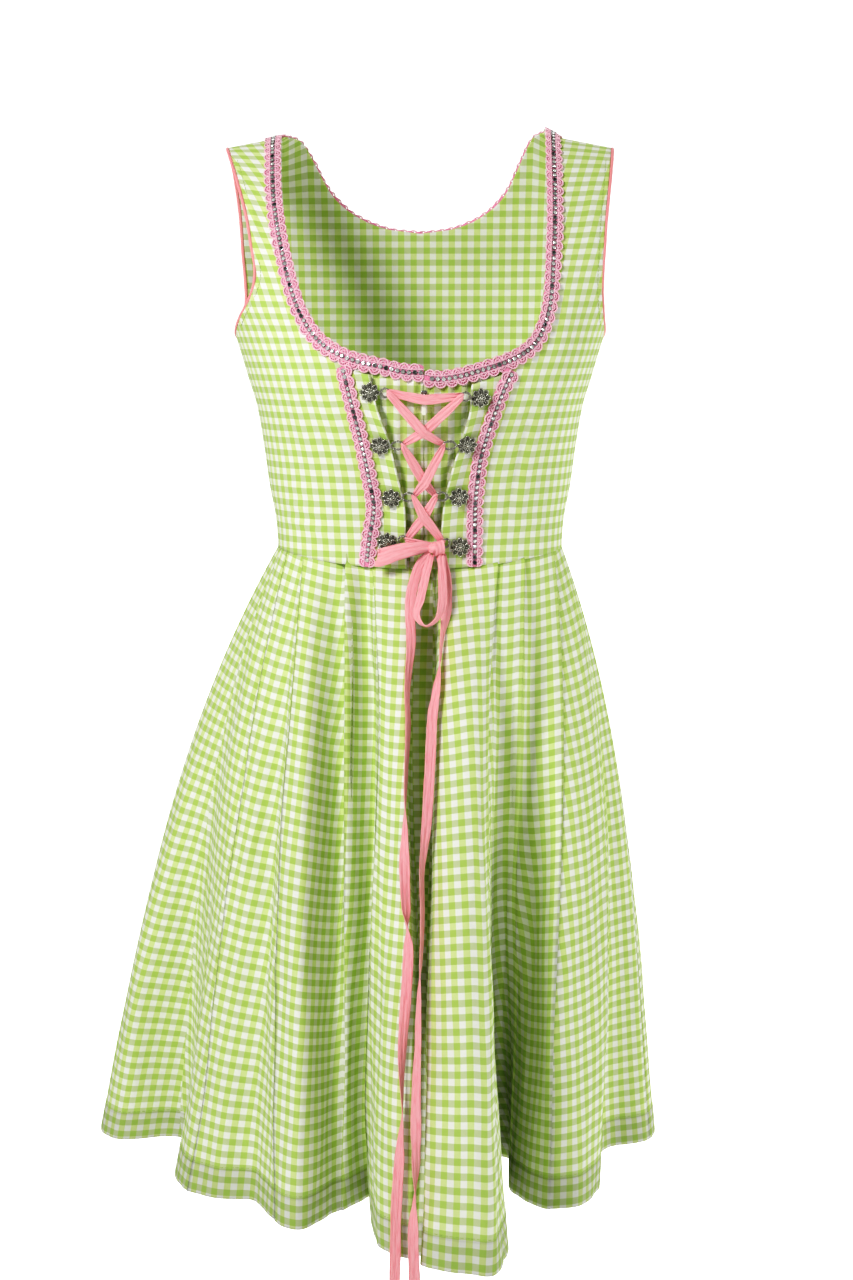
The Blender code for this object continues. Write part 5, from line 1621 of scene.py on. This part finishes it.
def zip_slider():
    """Slider: a waisted plate with side rails and the bridge that the pull tab hangs from."""
    width, height, thickness = SLIDER
    shape = Shape()
    outline = []
    for turn in circle(28):
        waist = 1 - 0.16 * math.cos(turn) ** 2
        outline.append((width / 2 * math.copysign(abs(math.cos(turn)) ** 0.6, math.cos(turn)) * waist,
                        height / 2 * math.copysign(abs(math.sin(turn)) ** 0.7, math.sin(turn))))
    for low, high, shade in ((0.0, 0.55, 0.6), (thickness - 0.5, thickness, 0.8)):
        rings = [(0.92, low), (1.0, low + 0.12), (1.0, high - 0.12), (0.9, high)]
        shape.add([(x * s, y * s, h) for s, h in rings for x, y in outline], ring_faces(4, 28), shade)
    neck = [(0, height / 2 - 0.6, 0.3), (0, height / 2 - 0.9, thickness - 0.2)]
    shape.tube(neck, 0.9, 10, up=(1, 0, 0))
    rise, half = thickness + BRIDGE[1] - 0.35, BRIDGE[0] / 2
    arch = [(0, half + 0.1, thickness - 0.2), (0, half, rise - 0.35), (0, half - 0.4, rise), (0, 0.4 - half, rise),
            (0, -half, rise - 0.35), (0, -half - 0.1, thickness - 0.2)]
    shape.tube(arch, 0.42, 8, up=(1, 0, 0), shade=0.85)
    mesh = shape.mesh("slider_body", matrix=hook_frame(ZIP_X, SLIDER_Z, CLEAR))
    add_piece("slider_body", mesh, "zip_metal", ("zip_slider",))


def zip_pull():
    """Enamelled pull tab, tapered to its eye and rounded at its end."""
    low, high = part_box("zip_pull")
    middle_x, middle_y, top = (low.x + high.x) / 2 / MM, (low.y + high.y) / 2 / MM, high.z / MM
    width, length, thick = PULL
    half = width / 2
    outline = [(-half * 0.62, 0.0), (-half * 0.72, -1.2), (-half * 0.82, -3.0), (-half, -length + 2.6)]
    outline += [(-half * math.cos(math.pi / 2 * t), -length + half - half * math.sin(math.pi / 2 * t))
                for t in fractions(7)]
    outline += [(-x, z) for x, z in reversed(outline[:-1])]
    points = []
    for share, depth in ((0.86, -0.5), (0.97, -0.38), (1.0, -0.2), (1.0, 0.2), (0.97, 0.38), (0.86, 0.5)):
        for x, z in outline:
            height = top - 0.1 + z * (1 - (1 - share) * 0.25) - (1 - share)
            points.append((middle_x + x * share, middle_y + depth * thick, height))
    shape = Shape()
    shape.add(points, ring_faces(6, len(outline)))
    add_piece("pull_tab", shape.mesh("pull_tab"), "enamel", ("zip_pull",), "zip_pull")


class Stop:
    """A place on a ribbon: its point, width, width direction and how far its middle stands proud."""

    def __init__(self, point, width, across, crown=0.4):
        self.point, self.width, self.across, self.crown = Vector(point), width, Vector(across), crown


def ribbon(name, stops, nodes, samples=6, seed=1, gathers=1.0):
    """Thin tape through stops: narrow where it is gathered, with creases along its length."""
    draws = random.Random(seed)
    line = np.array(spline([s.point for s in stops], samples))
    keys, marks = np.arange(len(stops)) * samples, np.arange(len(line))
    widths = np.interp(marks, keys, [s.width for s in stops])
    crowns = np.interp(marks, keys, [s.crown for s in stops])
    sides = np.stack([np.interp(marks, keys, [s.across[i] for s in stops]) for i in range(3)], 1)
    for _ in range(2):
        for rows in (widths, sides):
            rows[1:-1] = (rows[:-2] + rows[1:-1] * 2 + rows[2:]) / 4
    along = unit(np.gradient(line, axis=0))
    sides = unit(sides - along * (sides * along).sum(1, keepdims=True))
    faces_out = np.cross(sides, along)
    length = row_lengths(line[None])[0]
    phases = [draws.uniform(0, 6) for _ in range(6)]
    columns = np.linspace(-1, 1, 13)
    rows, places = [], []
    for i, at in enumerate(length):
        tight = max(0.0, 1 - widths[i] / (RIBBON_WIDTH + 0.3))
        wander = math.sin(at / 17 + phases[0]) * 0.25
        rise = crowns[i] * (1 - columns ** 2)
        rise = rise + gathers * (0.16 + 0.5 * tight) * np.cos((columns + wander) * math.pi * 2.3 + phases[1])
        rise = rise + gathers * 0.16 * np.cos((columns - wander) * math.pi * 4.1 + phases[2] + at / 23)
        half = widths[i] / 2 * (1 + 0.03 * math.sin(at / 5.3 + phases[3]) + 0.02 * math.sin(at / 2.1 + phases[4]))
        rows.append([line[i] + sides[i] * half * c + faces_out[i] * r for c, r in zip(columns, rise)])
        places.append([(c * RIBBON_WIDTH / 2 * MM, at * MM) for c in columns])
    obj = cloth(name, [(rows, places)], nodes, "ribbon", RIBBON_THICKNESS, 0.0)
    return obj, line, float(length[-1])


def loop_turn(tag, width, forwards):
    """Stops round the wire at the far end of a chain loop: from behind it to its front, or back."""
    place, half = loop_frame(tag)
    turn = place.to_3x3()
    out, inward, wire = turn @ Vector((0, 0, 1)), turn @ Vector((-1, 0, 0)), turn @ Vector((0, 1, 0))
    if wire.z < 0:
        wire = -wire
    tip = place @ Vector((half, 0, 0))
    reach = CHAIN_RADIUS + 0.5
    stops = [Stop(tip - out * reach + inward * 0.2, width, wire, 0.2),
             Stop(tip + inward * reach * 1.1, width * 0.9, wire, 0.1),
             Stop(tip + out * reach + inward * 0.2, width, wire, 0.2)]
    return stops if forwards else stops[::-1]


def run_between(first, last, lift, at=0.5):
    """Stops of one stretch of lacing between two points, standing off the cloth where it crosses."""
    a, b = first.point, last.point
    across = (b - a).normalized().cross(Vector((0, -1, 0)))
    if across.z < 0:
        across = -across
    middle = a.lerp(b, at)
    bent = on_front(middle.x, middle.z, lift) - middle
    stops = []
    for t, share in ((0.14, 0.74), (0.32, 0.92), (at, 0.95), (0.68, 0.92), (0.86, 0.74)):
        near = 1 - abs(t - at) / (at if t < at else 1 - at)
        stops.append(Stop(a.lerp(b, t) + bent * (near ** 0.9), RIBBON_WIDTH * share, across, 0.3))
    return stops


def lacing():
    """The ribbon laced through the eight chain loops, both ends running to the knot."""
    lifts = {name: lift for name, _, _, lift in LACING}
    links = {name: (first, last) for name, first, last, _ in LACING}
    knot_at = on_front(KNOT[0], KNOT[1], KNOT[2] - 1.5)
    forward = Vector((0, -1.5, 0))

    def share(name):
        pair = [[chain_tip(tag) for tag in links[name[:7] + way]] for way in ("over", "under")]
        return crossing(*pair)[0 if name.endswith("over") else 1]

    def loop(tag, forwards):
        return loop_turn(tag, LOOP_WIDTHS[tag[0]], forwards)

    end = loop("4_l", False)
    stops = [Stop(knot_at, 5.5, (0, 0, 1)), Stop(knot_at.lerp(end[0].point, 0.5) + forward, 5.5, (-0.5, 0, 1))] + end
    for name, last in (("lace_3_over", "3_r"), ("lace_2_over", "2_l"), ("lace_1_over", "1_r")):
        turn = loop(last, False)
        stops += run_between(stops[-1], turn[0], lifts[name], 1 - share(name)) + turn
    turn = loop("1_l", True)
    top = run_between(stops[-1], turn[0], LACE_TOP_LIFT)
    for stop, sag in zip(top, LACE_TOP_SAGS):
        stop.point.z -= sag
    stops += top + turn
    for name, last in (("lace_1_under", "2_r"), ("lace_2_under", "3_l"), ("lace_3_under", "4_r")):
        turn = loop(last, True)
        stops += run_between(stops[-1], turn[0], lifts[name], share(name)) + turn
    stops += [Stop(stops[-1].point.lerp(knot_at, 0.5) + forward, 5.5, (0.5, 0, 1)), Stop(knot_at, 5.5, (0, 0, 1))]
    ribbon("lacing_ribbon", stops, ("lace_top", *links), 5, 4)


def knot():
    """Knot of the bow: creased strands drawn round one another."""
    place = hook_frame(*KNOT)
    wide, high, deep = (size / 2 for size in KNOT_SIZE)
    rows, places = [], []
    for i in range(41):
        v = -math.pi / 2 + math.pi * i / 40
        thin = 0.93 * math.cos(v) ** 0.8
        row, spot = [], []
        for k in range(65):
            u = 2 * math.pi * k / 64
            fold = (1 + 0.10 * math.sin(5 * v + 2.2 * u) * math.cos(v) + 0.06 * math.sin(3 * u + 4)
                    + 0.05 * math.sin(9 * v - 3 * u))
            row.append(place @ Vector((wide * 0.93 * math.sin(v) * (1 + 0.05 * math.sin(2 * u)),
                                       high * thin * math.cos(u) * fold, deep * thin * math.sin(u) * fold)))
            spot.append((u * 2.4 * MM, v * 5 * MM))
        rows.append(row)
        places.append(spot)
    cloth("bow_knot", [(rows, places)], ("ribbon_knot",), "ribbon", RIBBON_THICKNESS)
    stops = []
    for k in range(13):
        turn = 2 * math.pi * (k - 1) / 11
        point = Vector((1.2 + 1.4 * math.sin(turn), (high + 0.15) * math.cos(turn), (deep + 0.1) * math.sin(turn)))
        stops.append(Stop(place @ point, 6.6, place.to_3x3() @ Vector((1, 0.25, 0)), 0.3))
    ribbon("bow_wrap", stops, (), 5, 9)


def turned_across(points, i, turned):
    """Width direction at a point of a route, turned by degrees away from lying flat to the front."""
    along = (points[min(i + 1, len(points) - 1)] - points[max(i - 1, 0)]).normalized()
    facing = Vector((0, -1, 0))
    facing = (facing - along * facing.dot(along)).normalized()
    turn = math.radians(turned)
    return along.cross(facing) * math.cos(turn) + facing * math.sin(turn)


def bow():
    """Side loop, folded flat at its far end, and the hanging loop."""
    (x0, z0, l0), (x1, z1, l1), (x2, z2, l2) = BOW_LOOP
    slant = Vector((0.42, 0, 0.92))
    tall = Vector((0.1, 0, 1))
    spots = (
        (x0 + 5, z0, l0 - 1.0, 5.5, tall), (x0 - 2, z0 + 0.6, l0 + 0.9, 7.5, tall), (-6, -299.6, l1 + 0.9, 10.0, tall),
        (x1 - 3, z1 - 0.4, l1 + 1.2, 12.0, slant), (-22, -305.6, l1 + 1.0, 12.8, slant),
        (x2 - 0.6, z2 - 0.2, l2 + 0.5, 13.0, slant), (x2 - 1.3, z2 - 0.4, l2 - 0.1, 13.0, slant),
        (x2 - 0.4, z2 - 0.2, l2 - 0.7, 12.8, slant), (-20, -305.2, l1 - 0.9, 11.5, slant),
        (x1 + 2, z1 - 0.6, l1 - 1.0, 9.5, tall), (x0, z0 - 0.6, l0 - 0.6, 6.5, tall),
        (x0 + 6, z0 - 0.4, l0 - 1.2, 5.5, tall),
    )
    stops = [Stop(on_front(x, z, lift), width, across, 0.5) for x, z, lift, width, across in spots]
    ribbon("bow_loop_side", stops, ("bow_side_loop",), 6, 5, 1.6)
    widths = np.interp(np.arange(9), (0, 1, 3, 4, 5, 7, 8), (5, 7, 7.5, 7.5, 7.5, 6.5, 5))
    points = [Vector((x, -forward, z)) for x, forward, z in HANGING_LOOP]
    stops = [Stop(point, float(widths[i]), turned_across(points, i, HANGING_TURNS[i]), 0.5)
             for i, point in enumerate(points)]
    ribbon("bow_loop_hanging", stops, ("bow_hanging_loop",), 9, 6, 1.3)


def tail_stops(table, line):
    """Stops of a hanging end: its route over the centre pleat and its turns."""
    rows = fold_rows(line)
    points = []
    for x, z, _ in table:
        forward = smooth(rows, z) + TAIL_STAND_OFF
        held_out = max(0.0, 1 - (WAIST_SIDE - z) / 40.0) if z < WAIST_SIDE else 1.0
        points.append(Vector((x, -forward - held_out * 2.8, z)))
    return [Stop(point, RIBBON_WIDTH, turned_across(points, i, table[i][2]), 0.25) for i, point in enumerate(points)]


def tails():
    """The two free ends of the ribbon, limp, hanging from the knot."""
    for side, table, line, seed in (("r", TAIL_R, "pleat_left", 12), ("l", TAIL_L, "pleat_right", 13)):
        stops = tail_stops(table, line)
        dense = stops[:1]
        for i in range(1, len(stops)):
            first, last = stops[i - 1], stops[i]
            if abs(table[i][2] - table[i - 1][2]) > 45:
                mixed = first.across.lerp(last.across, 0.5)
                if mixed.length < 0.2:
                    mixed = first.across.cross((last.point - first.point).normalized())
                dense.append(Stop(first.point.lerp(last.point, 0.5), RIBBON_WIDTH * 0.86, mixed.normalized(), 0.5))
            dense.append(last)
        obj, path, length = ribbon(f"ribbon_end_{side}", dense, (f"ribbon_tail_{side}",), 7, seed, 1.1)


# Contrast of the picture, as light in and light out between black and white
TONES = ((0.05, 0.019), (0.12, 0.079), (0.25, 0.228), (0.4, 0.428), (0.6, 0.66), (0.8, 0.87))
# Heights that the two nearer lamps are aimed at, in metres
AIMS = {"key": -0.12, "low": -0.75}


def stage(light):
    """Camera, soft studio light and a plain pale floor."""
    scene = bpy.context.scene
    scene.view_settings.view_transform = "Standard"
    scene.view_settings.look = "None"
    scene.view_settings.use_curve_mapping = True
    tones = scene.view_settings.curve_mapping.curves[3].points
    for light_in, light_out in TONES:
        tones.new(light_in, light_out)
    scene.view_settings.curve_mapping.update()
    camera = linked("camera", bpy.data.cameras.new("camera"))
    camera.data.lens = 72
    camera.data.sensor_width = 36
    camera.location = (0.005, -1.965, -0.140)
    camera.rotation_euler = (math.radians(83), 0, 0)
    scene.camera = camera
    world = bpy.data.worlds.new("studio")
    world.use_nodes = True
    scene.world = world
    nodes = Nodes(world.node_tree)
    background = world.node_tree.nodes["Background"]
    seen = nodes.add("ShaderNodeLightPath").outputs["Is Camera Ray"]
    # What falls into the folds has come through cloth and off cloth, and is tinted by it
    nodes.give(background.inputs["Color"], nodes.mix(seen, (0.88, 1.0, 0.62), (1.0, 1.0, 1.0)))
    nodes.give(background.inputs["Strength"], nodes.math("MULTIPLY_ADD", seen, 1.3 - light.surround, light.surround))
    for name, place, size, power, spread in (
            ("key", (-1.05, -1.7, 0.8), 0.6, light.key, 100), ("low", (0.3, -1.7, -1.1), 0.7, light.key * 0.035, 60),
            ("fill", (2.5, 0.1, 0.0), 2.0, light.fill, 180),
            ("side", (-2.5, -0.3, 0.0), 2.0, light.fill * 0.25, 180), ("back", (0.3, 2.4, 1.6), 2.4, light.back, 180)):
        lamp = bpy.data.lights.new(name, "AREA")
        lamp.size = size
        lamp.energy = power
        lamp.spread = math.radians(spread)
        obj = linked(name, lamp)
        obj.location = place
        aim = Vector((0, -0.1, AIMS.get(name, -0.35))) - obj.location
        obj.rotation_euler = aim.to_track_quat("-Z", "Y").to_euler()
    bm = bmesh.new()
    bmesh.ops.create_grid(bm, x_segments=2, y_segments=2, size=14)
    mesh = bpy.data.meshes.new("floor")
    bm.to_mesh(mesh)
    bm.free()
    floor = linked("floor", mesh)
    floor.location.z = -1.35
    material, nodes, shader = new_material("pale_floor", Roughness=0.9, Specular_IOR_Level=0.1)
    seen = nodes.add("ShaderNodeLightPath").outputs["Is Camera Ray"]
    nodes.give(shader.inputs["Emission Strength"], nodes.math("MULTIPLY_ADD", seen, 1.2, 0.25))
    shader.inputs["Base Color"].default_value = (0.9, 0.9, 0.9, 1)
    shader.inputs["Emission Color"].default_value = (1, 1, 1, 1)
    mesh.materials.append(material)


def colour_property(name, description, red, green, blue):
    return bpy.props.FloatVectorProperty(name=name, description=description, subtype="COLOR", size=3,
                                         min=0.0, max=1.0, default=rgb(red, green, blue))


def length_property(name, description, default):
    return bpy.props.FloatProperty(name=name, description=description, default=default, min=0.0001,
                                   unit="LENGTH", subtype="DISTANCE", precision=5)


def power_property(name, description, default):
    return bpy.props.FloatProperty(name=name, description=description, default=default, min=0.0, unit="POWER")


class DressSizes(bpy.types.PropertyGroup):
    """Sizes of the cloth's pattern and of the trim"""

    check_period: length_property("Check", "One green and one white check together", 0.010)
    yarn_pitch: length_property("Yarn", "Distance between two yarns of the cotton", 0.00045)
    braid_pitch: length_property("Braid shells", "Distance between two shells of the braid", 0.0078)
    stone_pitch: length_property("Stones", "Distance between two stones of the braid", 0.0042)


class DressColours(bpy.types.PropertyGroup):
    """Colours of the cloth, trim and metal"""

    green: colour_property("Green", "Checks where both sets of yarn are green", 180, 208, 114)
    yellow_green: colour_property("Yellow green", "Checks with green yarn down and white across", 216, 229, 164)
    grey_green: colour_property("Grey green", "Checks with white yarn down and green across", 202, 212, 170)
    white: colour_property("White", "Checks where both sets of yarn are white", 240, 240, 236)
    braid: colour_property("Braid", "Crocheted yarn of the braid", 252, 204, 222)
    # Colour of the painted shade in the hollows between the braid's yarns
    braid_hollow_shade: colour_property("Braid hollows", "Hollows between the yarns of the braid", 236, 140, 176)
    ribbon: colour_property("Ribbon", "Lacing ribbon", 255, 180, 190)
    # Colour of the painted shade in the ribbon's creases
    ribbon_crease_shade: colour_property("Ribbon creases", "Creases of the lacing ribbon", 250, 154, 166)
    piping: colour_property("Piping", "Piping round the armholes", 252, 160, 168)
    # Darkened so that the hem's stitch rows also carry the painted shadow of the hem's seam; the same colour serves
    # the bodice's stitches
    thread: colour_property("Thread", "Sewing thread", 176, 198, 118)
    silver: colour_property("Silver", "Rubbed metal of the hooks", 186, 184, 176)
    tarnish: colour_property("Tarnish", "Dark metal in the hollows of the hooks", 70, 67, 62)
    cup: colour_property("Cups", "Metal of the stone cups and the zip", 176, 178, 184)
    # The stones' two colours are painted light: the bright one paints the glint of stones that catch the light, the
    # dark one the shade of those that catch none
    stone: colour_property("Stones", "Bright stones", 250, 250, 252)
    dark_stone: colour_property("Dark stones", "Stones that catch no light", 30, 32, 40)
    enamel: colour_property("Enamel", "Enamel of the zip's pull tab", 240, 236, 228)


class DressLight(bpy.types.PropertyGroup):
    """Strength of the studio's light"""

    key: power_property("Key light", "Lamp at the front left", 10.2)
    fill: power_property("Fill light", "Lamps at the two sides, a quarter as strong on the left", 34.0)
    back: power_property("Back light", "Lamp behind", 34.0)
    surround: bpy.props.FloatProperty(name="Surround", description="Light from all round", default=0.15, min=0.0,
                                      subtype="FACTOR")


class DRESS_OT_stage(bpy.types.Operator):
    """Add the camera, the studio light and the floor"""

    bl_idname = "dress.stage"
    bl_label = "Stage"

    def execute(self, context):
        stage(context.scene.dress_light)
        return {"FINISHED"}


class DRESS_OT_finishes(bpy.types.Operator):
    """Make the materials that the pieces share"""

    bl_idname = "dress.finishes"
    bl_label = "Finishes"

    def execute(self, context):
        make_finishes(context.scene.dress_sizes, context.scene.dress_colours)
        return {"FINISHED"}


class DRESS_OT_ribbon_ends(bpy.types.Operator):
    """Hang the two free ends of the ribbon"""

    bl_idname = "dress.ribbon_ends"
    bl_label = "Ribbon ends"

    def execute(self, context):
        tails()
        return {"FINISHED"}


class DRESS_OT_lacing(bpy.types.Operator):
    """Lace the ribbon and tie its bow"""

    bl_idname = "dress.lacing"
    bl_label = "Lacing and bow"

    def execute(self, context):
        lacing()
        knot()
        bow()
        return {"FINISHED"}


class DRESS_OT_bodice(bpy.types.Operator):
    """Make the bodice: side fronts, centre panels, lacing strips and back"""

    bl_idname = "dress.bodice"
    bl_label = "Bodice"

    def execute(self, context):
        bodice()
        return {"FINISHED"}


class DRESS_OT_skirt(bpy.types.Operator):
    """Make the pleated skirt and its hem"""

    bl_idname = "dress.skirt"
    bl_label = "Skirt"

    def execute(self, context):
        skirt()
        return {"FINISHED"}


class DRESS_OT_braids(bpy.types.Operator):
    """Sew on the crocheted braids with their stones"""

    bl_idname = "dress.braids"
    bl_label = "Braids and stones"

    def execute(self, context):
        braids(context.scene.dress_sizes)
        return {"FINISHED"}


class DRESS_OT_hooks(bpy.types.Operator):
    """Add the flower hooks and their chains"""

    bl_idname = "dress.hooks"
    bl_label = "Flower hooks"

    def execute(self, context):
        hooks()
        return {"FINISHED"}


class DRESS_OT_piping(bpy.types.Operator):
    """Pipe the armholes"""

    bl_idname = "dress.piping"
    bl_label = "Armhole piping"

    def execute(self, context):
        piping()
        return {"FINISHED"}


class DRESS_OT_zip(bpy.types.Operator):
    """Add the zip's slider and pull tab"""

    bl_idname = "dress.zip"
    bl_label = "Zip"

    def execute(self, context):
        zip_slider()
        zip_pull()
        return {"FINISHED"}


class DRESS_PT_panel(bpy.types.Panel):
    """Sizes, colours and pieces of the dirndl dress"""

    bl_idname = "DRESS_PT_panel"
    bl_label = "Dirndl dress"
    bl_space_type = "VIEW_3D"
    bl_region_type = "UI"
    bl_category = "Dirndl"

    def draw(self, context):
        for label, group_name, kind in PROPERTY_GROUPS:
            box = self.layout.box()
            box.label(text=label)
            for key in kind.__annotations__:
                box.prop(getattr(context.scene, group_name), key)
        for operator in OPERATORS:
            self.layout.operator(operator.bl_idname)


PROPERTY_GROUPS = (
    ("Sizes", "dress_sizes", DressSizes),
    ("Colours", "dress_colours", DressColours),
    ("Light", "dress_light", DressLight),
)
# In the order in which they run
OPERATORS = (
    DRESS_OT_finishes, DRESS_OT_stage, DRESS_OT_ribbon_ends, DRESS_OT_lacing, DRESS_OT_bodice, DRESS_OT_skirt,
    DRESS_OT_braids, DRESS_OT_hooks, DRESS_OT_piping, DRESS_OT_zip,
)


def bodice():
    for side in "rl":
        side_front(side)
    centre_panels()
    lacing_strips()
    back_panel()


def skirt():
    hem_lines = []
    for name, node, backward in (("skirt_front_half", "skirt_front", False), ("skirt_back_half", "skirt_back", True)):
        obj, points, (waist, hem), length = skirt_half(name, node, backward)
        row = int(np.argmin(np.abs(points[:, :, 2].mean(1) - (HEM + HEM_DEPTH))))
        hem_lines.append(points[row])
    seam_stitches(hem_lines)


def register():
    for _, group_name, kind in PROPERTY_GROUPS:
        bpy.utils.register_class(kind)
        setattr(bpy.types.Scene, group_name, bpy.props.PointerProperty(type=kind))
    for kind in OPERATORS + (DRESS_PT_panel,):
        bpy.utils.register_class(kind)


def unregister():
    for kind in reversed(OPERATORS + (DRESS_PT_panel,)):
        bpy.utils.unregister_class(kind)
    for _, group_name, kind in reversed(PROPERTY_GROUPS):
        delattr(bpy.types.Scene, group_name)
        bpy.utils.unregister_class(kind)


def main():
    register()
    for operator in OPERATORS:
        family, name = operator.bl_idname.split(".")
        getattr(getattr(bpy.ops, family), name)()
    bpy.context.view_layer.update()


if __name__ == "__main__":
    main()
